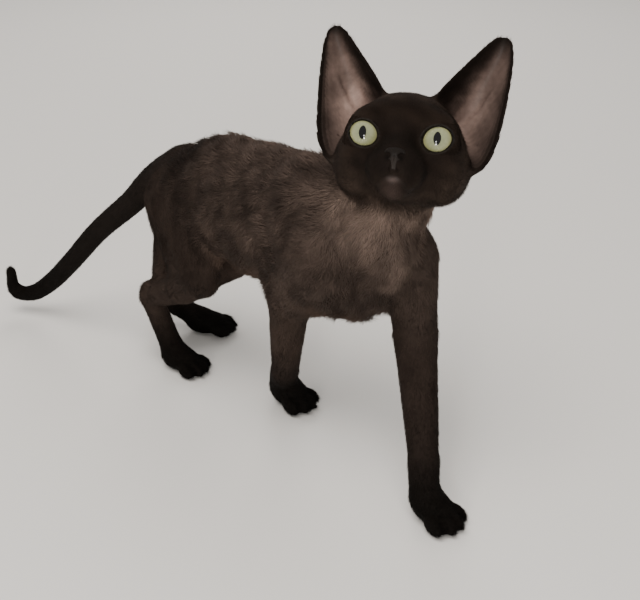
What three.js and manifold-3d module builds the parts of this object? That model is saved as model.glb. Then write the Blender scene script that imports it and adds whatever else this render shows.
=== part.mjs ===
// Devon rex kitten, about three months old, walking and looking up: a still, life-size figure.
// Millimetres, +Z up, +X the way the body faces, +Y its left side. The paws stand on Z = 0.
import * as THREE from "three";
import { mergeVertices } from "three/addons/utils/BufferGeometryUtils.js";
import Module from "manifold-3d";

const wasm = await Module();
wasm.setup();

// Driving sizes
const gap = 0.3; // clearance between neighbouring pieces
const sliver = 0.05; // how far the skin may move where needlessly fine triangles are merged
const overlap = 4; // how far a limb's own piece reaches past its muscles into the trunk
const sides = { tail: 10, toe: 6, head: 40, neckRoom: 22, nose: 12, nostril: 9, lid: 20, groove: 4 };
const rings = { tail: 17, head: 9 };
const earGrid = { rows: 9, columns: 8 };
// Spacing of the surface points, longest the way each piece runs
const cell = { trunk: [12, 7.4, 7.4], limb: [5.6, 5.6, 8.6], room: [10, 10, 12] };

const fillet = {
  trunk: 16, nape: 10, neck: 14, limb: 12, muscle: 6, skull: 12, face: 9, lips: 3.5, nose: 2.5,
};

// Places of the joints at rest, in the walking pose
const legs = {
  foreleg_right: {
    shoulder: [58, -19, 121], elbow: [29.6, -10.8, 86], wrist: [15.6, -2.9, 32], paw: [9, 8, 11], heading: 4,
  },
  foreleg_left: {
    shoulder: [82, 24, 117], elbow: [91, 20, 79], wrist: [123, -6, 31], paw: [135, -9, 11], heading: -2,
  },
  hindleg_right: {
    hip: [-66, -14, 112], knee: [-33, -20, 76], hock: [-88, -21, 45], paw: [-64, -15, 10], heading: 12,
    calf: [-84.5, -18, 55],
  },
  hindleg_left: {
    hip: [-64, 14, 112], knee: [-60, 23, 63], hock: [-116, 4, 25], paw: [-91, 27, 10], heading: 42,
    calf: [-86, 16, 62],
  },
};
const tailLine = [
  [-74, 0, 127], [-93, -6, 118], [-109, -15, 100], [-132, -27, 77], [-154, -35, 52],
  [-176, -41, 30], [-193, -48, 17], [-203, -55, 17], [-200, -58, 34],
];
const tailRadii = [14, 10, 8.4, 7.6, 7.3, 7, 6.4, 5.6, 4.2];
const tailSplit = 0.66; // share of the tail's line at its parting
const headPlace = { at: [87.4, 10.4, 181], turn: -54.3, lift: 26.7, roll: -1.2, size: 0.94 };
const eye = { at: [18.6, 16.8, 0], radius: 9.2, cornea: 0.07, turn: 3, lift: -2 };
const lids = { wide: 7.1, high: 6.4, thick: 1.3 };
const earThick = { base: 2.4, rim: 1.2 };

// Small vector tools on plain [x, y, z] lists
const add = (a, b, s = 1) => [a[0] + b[0] * s, a[1] + b[1] * s, a[2] + b[2] * s];
const mix = (a, b, t) => [a[0] + (b[0] - a[0]) * t, a[1] + (b[1] - a[1]) * t, a[2] + (b[2] - a[2]) * t];
const dot = (a, b) => a[0] * b[0] + a[1] * b[1] + a[2] * b[2];
const cross = (a, b) => [a[1] * b[2] - a[2] * b[1], a[2] * b[0] - a[0] * b[2], a[0] * b[1] - a[1] * b[0]];
const unit = (a) => {
  const n = Math.hypot(...a);
  return [a[0] / n, a[1] / n, a[2] / n];
};
const radians = THREE.MathUtils.degToRad;

// Masses: each is a function of a point that is negative inside and about the distance to its surface outside

// An ellipsoid. turn, lift and roll are its own angles in degrees.
function ellipsoid(centre, radii, { turn = 0, lift = 0, roll = 0 } = {}) {
  const spin = new THREE.Matrix4().makeRotationFromEuler(
    new THREE.Euler(radians(roll), radians(-lift), radians(turn), "ZYX"),
  ).elements;
  const [rx, ry, rz] = radii;
  return (p) => {
    const x = p[0] - centre[0];
    const y = p[1] - centre[1];
    const z = p[2] - centre[2];
    const u = (spin[0] * x + spin[1] * y + spin[2] * z) / rx;
    const v = (spin[4] * x + spin[5] * y + spin[6] * z) / ry;
    const w = (spin[8] * x + spin[9] * y + spin[10] * z) / rz;
    const near = Math.hypot(u, v, w);
    const steep = Math.hypot(u / rx, v / ry, w / rz);
    return steep < 1e-9 ? -Math.min(rx, ry, rz) : (near * (near - 1)) / steep;
  };
}

// A rounded cone from a to b. flat squeezes it along the direction across.
function cone(a, b, ra, rb, { flat = 1, across = [0, 1, 0] } = {}) {
  const axis = add(b, a, -1);
  const long = dot(axis, axis);
  const side = unit(add(across, axis, -dot(across, axis) / long));
  return (p) => {
    const q = add(p, a, -1);
    const t = Math.min(1, Math.max(0, dot(q, axis) / long));
    const off = add(q, axis, -t);
    const lateral = dot(off, side);
    const wide = add(off, side, lateral * (1 / flat - 1));
    return (Math.hypot(...wide) - (ra + (rb - ra) * t)) * (flat < 1 ? flat ** 0.5 : 1);
  };
}

// Masses run into each other with a fillet of about the given width
function blend(width, ...masses) {
  return (p) => {
    let d = masses[0](p);
    for (let i = 1; i < masses.length; i++) {
      const e = masses[i](p);
      const h = Math.max(width - Math.abs(d - e), 0) / width;
      d = Math.min(d, e) - (h * h * width) / 4;
    }
    return d;
  };
}

// Masses that meet end to end, with no fillet
const chain = (...masses) => (p) => Math.min(...masses.map((mass) => mass(p)));

// The first mass with the second pressed out of it, softly
function press(width, mass, hollow) {
  return (p) => {
    const d = mass(p);
    const e = -hollow(p);
    const h = Math.max(width - Math.abs(d - e), 0) / width;
    return Math.max(d, e) + (h * h * width) / 4;
  };
}

// A mass grown outwards
const grown = (mass, by) => (p) => mass(p) - by;

// The part of a body's skin that lies within reach of one of its masses
const near = (body, own, within) => (p) => Math.max(body(p), own(p) - within);

// Meshes

// A closed surface from a grid: rows of points between two end points
function closedGrid(first, rows, last) {
  const wide = rows[0].length;
  const points = [first, ...rows.flat(), last];
  const index = [];
  const at = (r, c) => 1 + r * wide + (c % wide);
  for (let c = 0; c < wide; c++) {
    index.push(0, at(0, c + 1), at(0, c));
    for (let r = 0; r + 1 < rows.length; r++) {
      index.push(at(r, c), at(r, c + 1), at(r + 1, c));
      index.push(at(r, c + 1), at(r + 1, c + 1), at(r + 1, c));
    }
    index.push(points.length - 1, at(rows.length - 1, c), at(rows.length - 1, c + 1));
  }
  const made = new THREE.BufferGeometry();
  made.setAttribute("position", new THREE.Float32BufferAttribute(points.flat(), 3));
  made.setIndex(index);
  return made;
}

// How far the surface of a mass lies from a point inside it
function reach(mass, from, way) {
  const step = 0.7;
  const limit = 80;
  let t = step;
  while (t < limit && mass(add(from, way, t)) < 0) t += step;
  let low = t - step;
  for (let i = 0; i < 10; i++) {
    const middle = (low + t) / 2;
    if (mass(add(from, way, middle)) < 0) low = middle;
    else t = middle;
  }
  return add(from, way, low);
}

// The surface of a mass, found from a line inside it: rings round the line and a dome at each end.
// across names the direction of the first point of each ring.
function surfaceRound(mass, line, { around, along, across = [0, 1, 0], caps = 5 }) {
  const fan = (t, tilt) => {
    const from = line.getPoint(t).toArray();
    const axis = line.getTangent(t).toArray();
    const u = unit(add(across, axis, -dot(across, axis)));
    const v = cross(axis, u);
    return Array.from({ length: around }, (_, c) => {
      const turn = (2 * Math.PI * c) / around;
      const radial = add(u.map((x) => x * Math.cos(turn)), v, Math.sin(turn));
      const way = add(radial.map((x) => x * Math.cos(tilt)), axis, Math.sin(tilt));
      return reach(mass, from, way);
    });
  };
  const dome = (k) => (Math.PI / 2) * (k / (caps + 1));
  const rows = [];
  for (let k = caps; k >= 1; k--) rows.push(fan(0, -dome(k)));
  for (let r = 0; r <= along; r++) rows.push(fan(r / along, 0));
  for (let k = 1; k <= caps; k++) rows.push(fan(1, dome(k)));
  const end = (t, sign) => {
    const axis = line.getTangent(t).toArray();
    return reach(mass, line.getPoint(t).toArray(), axis.map((x) => x * sign));
  };
  return closedGrid(end(0, -1), rows, end(1, 1));
}

// The surface of a mass inside a box, found on a lattice: a point in each lattice cell that the surface
// crosses, drawn onto the surface, and a square round each lattice edge that it crosses
function surfaceIn(mass, low, high, spacing) {
  const count = [0, 1, 2].map((k) => Math.ceil((high[k] - low[k]) / spacing[k]) + 1);
  const number = ([i, j, k]) => (i * count[1] + j) * count[2] + k;
  const place = (cellAt) => cellAt.map((n, k) => low[k] + n * spacing[k]);
  const all = (visit, short) => {
    for (let i = 0; i < count[0] - short; i++) {
      for (let j = 0; j < count[1] - short; j++) {
        for (let k = 0; k < count[2] - short; k++) visit([i, j, k]);
      }
    }
  };
  const value = new Float32Array(count[0] * count[1] * count[2]);
  all((at) => (value[number(at)] = mass(place(at))), 0);
  const corners = Array.from({ length: 8 }, (_, n) => [n & 1, (n >> 1) & 1, n >> 2]);
  const edges = corners.flatMap((a, n) =>
    [1, 2, 4].filter((bit) => !(n & bit)).map((bit) => [a, corners[n | bit]]),
  );
  const probe = 0.05; // how far apart the slope of the mass is felt
  const settle = (from) => {
    let point = from;
    for (let turn = 0; turn < 3; turn++) {
      const d = mass(point);
      const shifted = (k) => point.map((x, n) => x + (n === k ? probe : 0));
      const slope = [0, 1, 2].map((k) => (mass(shifted(k)) - d) / probe);
      const steep = Math.max(dot(slope, slope), 0.25);
      point = add(point, slope, -Math.max(-1, Math.min(1, d)) / steep);
    }
    return Math.hypot(...add(point, from, -1)) < spacing[0] * 0.6 ? point : from;
  };
  const points = [];
  const pointOf = new Map();
  all((at) => {
    const crossed = [];
    for (const [a, b] of edges) {
      const [p, q] = [add(at, a), add(at, b)];
      const [d, e] = [value[number(p)], value[number(q)]];
      if (d < 0 !== e < 0) crossed.push(place(mix(p, q, d / (d - e))));
    }
    if (crossed.length === 0) return;
    const middle = crossed.reduce((sum, point) => add(sum, point, 1 / crossed.length), [0, 0, 0]);
    pointOf.set(number(at), points.length);
    points.push(settle(middle));
  }, 1);
  const index = [];
  const square = (a, b, c, d) => {
    const apart = (m, n) => Math.hypot(...add(points[m], points[n], -1));
    index.push(...(apart(a, c) < apart(b, d) ? [a, b, c, a, c, d] : [a, b, d, b, c, d]));
  };
  all((at) => {
    const inside = value[number(at)] < 0;
    for (const k of [0, 1, 2]) {
      const step = [0, 1, 2].map((n) => (n === k ? 1 : 0));
      if (inside === value[number(add(at, step))] < 0) continue;
      const one = [0, 1, 2].map((n) => (n === (k + 1) % 3 ? 1 : 0));
      const two = [0, 1, 2].map((n) => (n === (k + 2) % 3 ? 1 : 0));
      const round = [add(add(at, one, -1), two, -1), add(at, two, -1), at, add(at, one, -1)];
      const found = round.map((cellAt) => pointOf.get(number(cellAt)));
      square(...(inside ? found : found.reverse()));
    }
  }, 1);
  const made = new THREE.BufferGeometry();
  made.setAttribute("position", new THREE.Float32BufferAttribute(points.flat(), 3));
  made.setIndex(index);
  return solid(made);
}

// A box round some points, with room to spare
function boxRound(points, spare) {
  const low = [0, 1, 2].map((k) => Math.min(...points.map((p) => p[k])) - spare);
  const high = [0, 1, 2].map((k) => Math.max(...points.map((p) => p[k])) + spare);
  return [low, high];
}

const curve = (...points) =>
  new THREE.CatmullRomCurve3(points.map((p) => new THREE.Vector3(...p)), false, "centripetal");

// Solids for joining and cutting
function solid(made) {
  const bare = made.clone();
  for (const name of Object.keys(bare.attributes)) if (name !== "position") bare.deleteAttribute(name);
  const { attributes, index } = mergeVertices(bare, 1e-4);
  const shape = { numProp: 3, vertProperties: attributes.position.array, triVerts: index.array };
  return new wasm.Manifold(new wasm.Mesh(shape));
}
const largest = (body) => body.decompose().sort((a, b) => b.volume() - a.volume())[0];
const joined = (...bodies) => bodies.reduce((a, b) => a.add(b));

// A turn that takes one direction to another
function turnTo(from, to) {
  const [a, b] = [new THREE.Vector3(...from), new THREE.Vector3(...unit(to))];
  return new THREE.Quaternion().setFromUnitVectors(a, b);
}

// A thin or thick slab whose faces are square to a direction, for parting and trimming
function slab(centre, normal, thick, wide) {
  const box = new THREE.BoxGeometry(wide, wide, thick);
  box.applyQuaternion(turnTo([0, 0, 1], normal)).translate(...centre);
  return solid(box);
}
const underFloor = slab([0, 0, -50], [0, 0, 1], 100, 900);

// A body with others taken out of it
const without = (body, cuts) => cuts.reduce((left, cut) => left.subtract(cut), body);

// Materials
const coat = (hex) => new THREE.MeshStandardMaterial({ color: hex, roughness: 0.85, metalness: 0 });
const looks = {
  body: coat(0x3b322d),
  points: coat(0x1a1513),
  face: coat(0x261e1b),
  ear: coat(0x5a4640),
  nose: new THREE.MeshStandardMaterial({ color: 0x15110f, roughness: 0.45, metalness: 0 }),
  eye: new THREE.MeshStandardMaterial({ color: 0xb9c48c, roughness: 0.08, metalness: 0 }),
};

const cat = new THREE.Group();
cat.name = "devon_rex_kitten";

function part(name, body, look) {
  const mesh = largest(body).asOriginal().simplify(sliver).getMesh();
  const stride = mesh.numProp;
  const points = new Float32Array(mesh.numVert * 3);
  for (let i = 0; i < mesh.numVert; i++) {
    points.set(mesh.vertProperties.subarray(i * stride, i * stride + 3), i * 3);
  }
  const made = new THREE.BufferGeometry();
  made.setAttribute("position", new THREE.BufferAttribute(points, 3));
  made.setIndex(new THREE.BufferAttribute(new Uint32Array(mesh.triVerts), 1));
  made.computeVertexNormals();
  const node = new THREE.Mesh(made, look);
  node.name = name;
  cat.add(node);
}

// Torso: rib cage, arched loin, belly and croup, with the shoulder blades under the coat
const trunk = blend(
  fillet.trunk,
  ellipsoid([32, 0, 122.4], [50, 26, 42.8], { lift: -2 }),
  ellipsoid([64, 1, 114], [29, 23, 28], { lift: 28 }),
  ellipsoid([-18, 0, 127], [52, 25, 33.5], { lift: 3 }),
  ellipsoid([-14, 0, 111], [36, 20, 28]),
  ellipsoid([-60, 0, 115.5], [32, 21, 22], { lift: 12 }),
  ellipsoid([52, 15, 140], [20, 9, 20]),
  ellipsoid([44, -15, 140], [20, 9, 20]),
);

// Neck: from between the shoulders up and round to the back of the jaw
const neckPlane = { at: [64, 4, 146], normal: [0.68, 0.18, 0.71] };
const neckMass = blend(
  fillet.nape,
  cone([58, 1, 128], [76, 13, 154], 27, 22),
  cone([76, 13, 154], [78, 20, 168], 22, 20),
  ellipsoid([86, -2, 132], [15, 16, 20], { lift: 30 }),
);
const front = blend(fillet.neck, trunk, neckMass);
const frontBox = [[-108, -50, 66], [118, 60, 200]];

// Paws: a bulk and four round toes, cut flat where they stand
function pawShape({ paw, heading }, size, longer) {
  const way = [Math.cos(radians(heading)), Math.sin(radians(heading)), 0];
  const left = [-way[1], way[0], 0];
  const place = (f, l, z) => add(add([paw[0], paw[1], z * size], way, f * size), left, l * size);
  const scaled = (radii) => radii.map((x) => x * size);
  const bulk = ellipsoid(place(-1 - longer, 0, 7.8), scaled([12 + longer, 9.8, 9]), { turn: heading });
  const toes = [-1.5, -0.5, 0.5, 1.5].map((k) => {
    const centre = place(Math.abs(k) < 1 ? 9 : 5.6, k * 5.3, 5.2);
    const mass = ellipsoid(centre, scaled([8.2, 4, 5.7]), { turn: heading + k * 7, lift: -8 });
    const line = curve(add(centre, way, -2), add(centre, way, 2));
    return { mass, line };
  });
  return { bulk, toes, heel: place(-8 - longer, 0, 12) };
}

// The room that each limb and the tail take up, with its clearance
const rooms = [];

// A leg: muscle masses along the bones, made whole with its paw and then parted above it
function leg(name, muscles, bones, paw, cut) {
  const own = blend(fillet.muscle, ...muscles, paw.bulk);
  const whole = blend(fillet.limb, trunk, own);
  const [low, high] = boxRound(bones, 32);
  const toeShape = { around: sides.toe, along: 1, caps: 1 };
  const toes = paw.toes.map((toe) => solid(surfaceRound(toe.mass, toe.line, toeShape)));
  const skin = surfaceIn(near(whole, own, overlap + 4), low, high, cell.limb);
  const limb = joined(skin.intersect(surfaceIn(grown(own, overlap), low, high, cell.room)), ...toes);
  const clear = without(limb, [underFloor, ...rooms]);
  const pieces = clear.subtract(slab(cut.at, cut.normal, gap, 60)).decompose();
  const [upper, lower] = pieces.sort((a, b) => b.volume() - a.volume());
  part(name, upper, looks.body);
  part(name.replace("foreleg", "paw_fore").replace("hindleg", "paw_hind"), lower, looks.points);
  rooms.push(surfaceIn(grown(own, overlap + gap * 4), low, high, cell.room));
}

function foreleg(name) {
  const { shoulder, elbow, wrist } = legs[name];
  const paw = pawShape(legs[name], 1, 0);
  const across = [0.25, 1, 0];
  const bones = chain(
    cone(shoulder, elbow, 17.5, 13.8, { flat: 0.8, across }),
    cone(elbow, mix(elbow, wrist, 0.3), 13.8, 11.9, { flat: 0.9, across }),
    cone(mix(elbow, wrist, 0.3), wrist, 11.9, 9.2, { flat: 0.92, across }),
    cone(wrist, paw.heel, 9.2, 8.6),
  );
  const muscles = [bones, cone(add(elbow, [-5, 0, 5]), elbow, 6, 8, { flat: 0.9, across })];
  const cut = { at: mix(wrist, paw.heel, 0.2), normal: add(wrist, paw.heel, -1) };
  leg(name, muscles, [shoulder, elbow, wrist, legs[name].paw], paw, cut);
}

function hindleg(name) {
  const { hip, knee, hock, calf } = legs[name];
  const paw = pawShape(legs[name], 0.94, 3);
  const across = [0, 1, 0];
  const shin = mix(knee, hock, 0.45);
  const bones = chain(
    cone(hip, add(knee, [-3, 0, 2]), 22, 14, { flat: 0.62, across }),
    cone(add(knee, [-3, 0, 2]), shin, 14, 10.4, { flat: 0.75, across }),
    cone(shin, hock, 10.4, 7.6, { flat: 0.88, across }),
    cone(hock, paw.heel, 7.6, 8),
  );
  const muscles = [
    bones,
    cone(add(hip, [-12, 0, -6]), mix(knee, hock, 0.36), 14, 9, { flat: 0.62, across }),
    cone(add(hip, [-13, 0, -19]), calf, 8.6, 5.8, { flat: 0.62, across }),
    cone(add(hock, [-3, 0, 5]), add(hock, [-1, 0, 1]), 4.8, 6),
  ];
  const cut = { at: mix(hock, paw.heel, 0.66), normal: add(hock, paw.heel, -1) };
  leg(name, muscles, [hip, knee, hock, legs[name].paw], paw, cut);
}

// Tail: one tapering length with an upturned end, parted before the hook
function tail() {
  const line = curve(...tailLine);
  const radius = (t) => {
    const s = t * (tailRadii.length - 1);
    const k = Math.min(tailRadii.length - 2, Math.floor(s));
    return THREE.MathUtils.lerp(tailRadii[k], tailRadii[k + 1], s - k);
  };
  const steps = 32;
  const links = Array.from({ length: steps }, (_, i) => {
    const [t, u] = [i / steps, (i + 1) / steps];
    return cone(line.getPoint(t).toArray(), line.getPoint(u).toArray(), radius(t), radius(u));
  });
  const own = chain(...links);
  const whole = blend(fillet.limb, trunk, own);
  const shape = { around: sides.tail, along: rings.tail, across: [0.2, 1, 0.3], caps: 3 };
  const skin = solid(surfaceRound(near(whole, own, overlap), line, shape));
  const clear = without(skin, rooms);
  const at = line.getPoint(tailSplit).toArray();
  const pieces = clear.subtract(slab(at, line.getTangent(tailSplit).toArray(), gap, 40)).decompose();
  const [root, end] = pieces.sort((a, b) => b.volume() - a.volume());
  part("tail_root", root, looks.body);
  part("tail_end", end, looks.points);
  rooms.push(solid(surfaceRound(grown(own, overlap + gap), line, shape)));
}

// Head: everything here is drawn in the head's own frame, X to the nose, Y to its left ear, before it
// is turned, scaled and set on the neck
const headTurn = new THREE.Matrix4().makeRotationFromEuler(
  new THREE.Euler(radians(headPlace.roll), radians(-headPlace.lift), radians(headPlace.turn), "ZYX"),
);
const headMatrix = headTurn.scale(new THREE.Vector3(1, 1, 1).multiplyScalar(headPlace.size));
headMatrix.setPosition(...headPlace.at);
const onNeck = (made) => solid(made.applyMatrix4(headMatrix));
const bothSides = (make) => [make(1), make(-1)];
const headGap = gap / headPlace.size;

const eyeAt = (side) => [eye.at[0], eye.at[1] * side, eye.at[2]];
const eyeWay = (side) => {
  const turn = radians(eye.turn * side);
  const lift = radians(eye.lift);
  return [Math.cos(turn) * Math.cos(lift), Math.sin(turn) * Math.cos(lift), Math.sin(lift)];
};
const skull = blend(
  fillet.skull,
  ellipsoid([-7, 0, 0.6], [31, 28, 23.2]),
  ellipsoid([10, 0, 8.2], [16, 18, 12.6]),
  ...bothSides((side) => ellipsoid([2, 18.5 * side, -11.5], [21, 15, 17.5], { turn: 8 * side })),
  cone([-2, 0, -16], [25, 0, -21], 15, 8.5),
);
const face = blend(
  fillet.face,
  skull,
  cone([20, 0, 6], [36, 0, -8.5], 8, 4.6),
  ellipsoid([26, 0, -14], [13, 12.5, 9.5]),
  ...bothSides((side) => ellipsoid([20.5, 14.5 * side, 8.5], [7, 8.5, 5])),
  ...bothSides((side) => ellipsoid([19, 17 * side, -9], [7, 8, 5])),
);
const headMass = blend(
  fillet.lips,
  face,
  ...bothSides((side) => ellipsoid([31.6, 6.2 * side, -17], [6.8, 6.8, 7])),
  ellipsoid([30.2, 0, -24.2], [6.4, 5.6, 5.2]),
  ...bothSides((side) => ellipsoid(eyeAt(side), [1, 1, 1].map((x) => x * (eye.radius + lids.thick)))),
);
const headHollow = bothSides((side) => ellipsoid([0, 33 * side, 6], [8, 7, 12], { roll: -16 * side }))
  .reduce((mass, hollow) => press(4, mass, hollow), headMass);
const headLine = curve([-16, 0, 1], [2, 0, -2], [18, 0, -8]);
const headShape = { around: sides.head, along: rings.head, caps: 8, across: [0, 1, 0] };

// The surface point of the head straight out from its middle line through a point
function onFace(point) {
  const from = [Math.min(18, point[0] - 8), 0, -8];
  return reach(headMass, from, unit(add(point, from, -1)));
}

// A fine channel along the skin
function groove(points, radius) {
  const line = curve(...points.map(onFace));
  const steps = points.length * 2;
  const links = Array.from({ length: steps }, (_, i) => {
    const [a, b] = [line.getPoint(i / steps).toArray(), line.getPoint((i + 1) / steps).toArray()];
    return cone(a, b, radius, radius, { across: [0.3, 0.2, 1] });
  });
  const shape = { around: sides.groove, along: steps, caps: 1, across: [0.3, 0.2, 1] };
  return onNeck(surfaceRound(chain(...links), line, shape));
}

// An eyeball, which stands out a little at its cornea
function eyeball(side, extra, around, steps) {
  const profile = Array.from({ length: steps + 1 }, (_, i) => {
    const turn = (Math.PI * i) / steps;
    const bulge = 1 + eye.cornea * Math.max(0, 1 - (turn / 0.72) ** 2);
    const radius = (eye.radius + extra) * bulge;
    return new THREE.Vector2(Math.max(1e-5, Math.sin(turn) * radius), Math.cos(turn) * radius);
  }).reverse();
  const made = new THREE.LatheGeometry(profile, around);
  made.applyQuaternion(turnTo([0, 1, 0], eyeWay(side)));
  return onNeck(made.translate(...eyeAt(side)));
}

// The almond opening of the lids, as a flared prism along the eye's axis
function lidOpening(side) {
  const way = eyeWay(side);
  const outward = unit(cross([0, 0, side], way));
  const upward = cross(way, outward).map((x) => x * side);
  const ringAt = (depth, size) =>
    Array.from({ length: sides.lid }, (_, i) => {
      const turn = (2 * Math.PI * i) / sides.lid;
      const across = Math.cos(turn) * lids.wide * size;
      const pointed = 1 - 0.1 * Math.abs(Math.cos(turn)) ** 6;
      const high = Math.sin(turn) * lids.high * size * pointed + across * 0.1;
      return add(add(add(eyeAt(side), way, depth), outward, across), upward, high);
    });
  const rows = [ringAt(2, 0.92), ringAt(eye.radius, 1), ringAt(eye.radius + 6, 1.3)];
  const made = closedGrid(add(eyeAt(side), way, 2), rows, add(eyeAt(side), way, eye.radius + 6));
  return facingOut(onNeck, made);
}

// Ears: wide cups of thin skin, open to the front and side
function ear(side) {
  const mirror = (points) => curve(...points.map(([x, y, z]) => [x, y * side, z]));
  const inner = mirror([
    [4, 8, 15], [3, 13, 24], [0, 21, 35], [-4, 31.5, 48], [-7, 37, 54.4], [-8, 41.4, 56.6],
  ]);
  const outer = mirror([
    [9, 26, -14], [7, 37.5, -11], [3, 43, 0], [-2, 45.5, 17], [-6, 46.8, 36], [-8, 46.6, 48],
    [-8.3, 45, 54], [-8, 41.4, 56.6],
  ]);
  const spine = mirror([
    [-17, 20, 0], [-20, 25, 12], [-19.5, 31, 26], [-16, 37, 41], [-11.5, 41, 52], [-8, 41.4, 56.6],
  ]);
  const { rows, columns } = earGrid;
  const at = (s, t) => {
    const [a, b, c] = [inner, outer, spine].map((edge) => edge.getPoint(s).toArray());
    const chord = add(b, a, -1);
    const middle = mix(a, b, 0.5);
    return add(add(c, chord, t / 2), add(middle, c, -1), t * t);
  };
  const skin = (s, t) => {
    const here = at(s, t);
    const alongT = add(at(s, Math.min(1, t + 0.01)), at(s, Math.max(-1, t - 0.01)), -1);
    const alongS = add(at(Math.min(1, s + 0.01), t), at(Math.max(0, s - 0.01), t), -1);
    const thick = (earThick.rim + (earThick.base - earThick.rim) * (1 - s) * (1 - t * t)) / 2;
    const normal = unit(cross(alongT, alongS)).map((x) => x * side * thick);
    return { back: add(here, normal), front: add(here, normal, -1) };
  };
  const ring = (s) => {
    const turns = Array.from({ length: columns + 1 }, (_, c) => skin(s, -1 + (2 * c) / columns));
    return [...turns.map((x) => x.back), ...turns.map((x) => x.front).reverse()];
  };
  const share = (r) => 1 - (1 - r / rows) ** 1.3; // rows stand closer towards the tip
  const list = Array.from({ length: rows }, (_, r) => ring(share(r)));
  const floor = list[0].reduce((a, b) => add(a, b, 1 / list[0].length), [0, 0, 0]);
  return facingOut(onNeck, closedGrid(floor, list, at(1, 0)));
}

// The same solid whichever way round its grid was wound
function facingOut(make, made) {
  const body = make(made.clone());
  if (body.volume() > 0) return body;
  const index = made.getIndex();
  for (let i = 0; i < index.count; i += 3) {
    const swap = index.getX(i);
    index.setX(i, index.getX(i + 1));
    index.setX(i + 1, swap);
  }
  return make(made);
}

// Nose leather with its two nostrils
const noseMass = blend(
  fillet.nose,
  ellipsoid([37.6, 0, -9.4], [4.2, 3.8, 2.9]),
  ...bothSides((side) => ellipsoid([37.3, 2.8 * side, -10.4], [3.7, 2.1, 2.5])),
  cone([38.4, 0, -11], [36.8, 0, -16], 1.9, 1.5),
);
const noseLine = curve([35.6, 0, -9.6], [38, 0, -10]);
const noseShape = { around: sides.nose, along: 1, caps: 4 };
const noseBody = (extra) => onNeck(surfaceRound(grown(noseMass, extra), noseLine, noseShape));

// A nostril: a round pit that runs out into a slit towards the wing of the nose
function nostril(side) {
  const middle = [40.6, 2.75 * side, -10.8];
  const pit = ellipsoid(middle, [3, 1.2, 1.1], { turn: 22 * side, roll: 25 * side });
  const pitLine = curve(add(middle, [-0.5, 0, 0]), add(middle, [0.5, 0, 0]));
  const slitEnds = [add(middle, [-0.8, 0.5 * side, 0]), add(middle, [-3, 2.2 * side, 0.7])];
  const slit = cone(...slitEnds, 0.7, 0.45, { across: [0, 0, 1] });
  return joined(
    onNeck(surfaceRound(pit, pitLine, { around: sides.nostril, along: 1, caps: 1 })),
    onNeck(surfaceRound(slit, curve(...slitEnds), { around: 6, along: 1, caps: 1 })),
  );
}
part("nose", without(noseBody(0), bothSides(nostril)), looks.nose);

part("eye_left", eyeball(1, 0, 16, 8), looks.eye);
part("eye_right", eyeball(-1, 0, 16, 8), looks.eye);

// The line of the mouth from its middle to a corner, and the one from the nose down to it
const lipLine = (side) => {
  const half = [
    [38.2, 0, -19.6], [37, 2.8, -20.6], [35, 5.2, -22.8], [31, 7.8, -25], [26, 10.2, -26], [22, 12.5, -26],
  ];
  return groove(half.map(([x, y, z]) => [x, y * side, z]), 0.7);
};
const underNose = groove([[40, 0, -14.5], [39, 0, -17], [38, 0, -19.6]], 0.6);
const socket = (side) => eyeball(side, headGap + 0.2, 14, 7);
const headCuts = [socket, lidOpening, lipLine].flatMap(bothSides).concat(underNose, noseBody(headGap));
const headBody = onNeck(surfaceRound(headHollow, headLine, headShape));
part("head", without(headBody, headCuts), looks.face);

const headRoom = onNeck(surfaceRound(grown(headHollow, headGap), headLine, headShape));
part("ear_left", ear(1).subtract(headRoom), looks.ear);
part("ear_right", ear(-1).subtract(headRoom), looks.ear);

// The trunk and neck, cut clear of everything that joins them
foreleg("foreleg_right");
foreleg("foreleg_left");
hindleg("hindleg_right");
hindleg("hindleg_left");
tail();
const whole = surfaceIn(front, ...frontBox, cell.trunk);
const parting = slab(neckPlane.at, neckPlane.normal, gap, 160);
const abovePlane = slab(add(neckPlane.at, unit(neckPlane.normal), 50), neckPlane.normal, 100, 160);
part("torso", without(whole, [abovePlane, ...rooms]), looks.body);
const neckRoomShape = { around: sides.neckRoom, along: 4, caps: 5 };
const neckRoom = onNeck(surfaceRound(grown(headMass, headGap * 4), headLine, neckRoomShape));
part("neck", without(whole.intersect(abovePlane), [parting, neckRoom, ...rooms]), looks.body);

// The figure stands over the middle of the floor that it covers
const reachOfAll = new THREE.Box3().setFromObject(cat);
const middle = reachOfAll.getCenter(new THREE.Vector3());
cat.position.set(-middle.x, -middle.y, -reachOfAll.min.z);

export default cat;
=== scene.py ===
# Devon rex kitten: one skin, its coat, the eyes and the nose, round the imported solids.
# The object is in metres. The masses below are in millimetres, in the model's own numbers.
import math

import bmesh
import bpy
import numpy as np
from mathutils import Matrix, Vector
from mathutils.bvhtree import BVHTree


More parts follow.
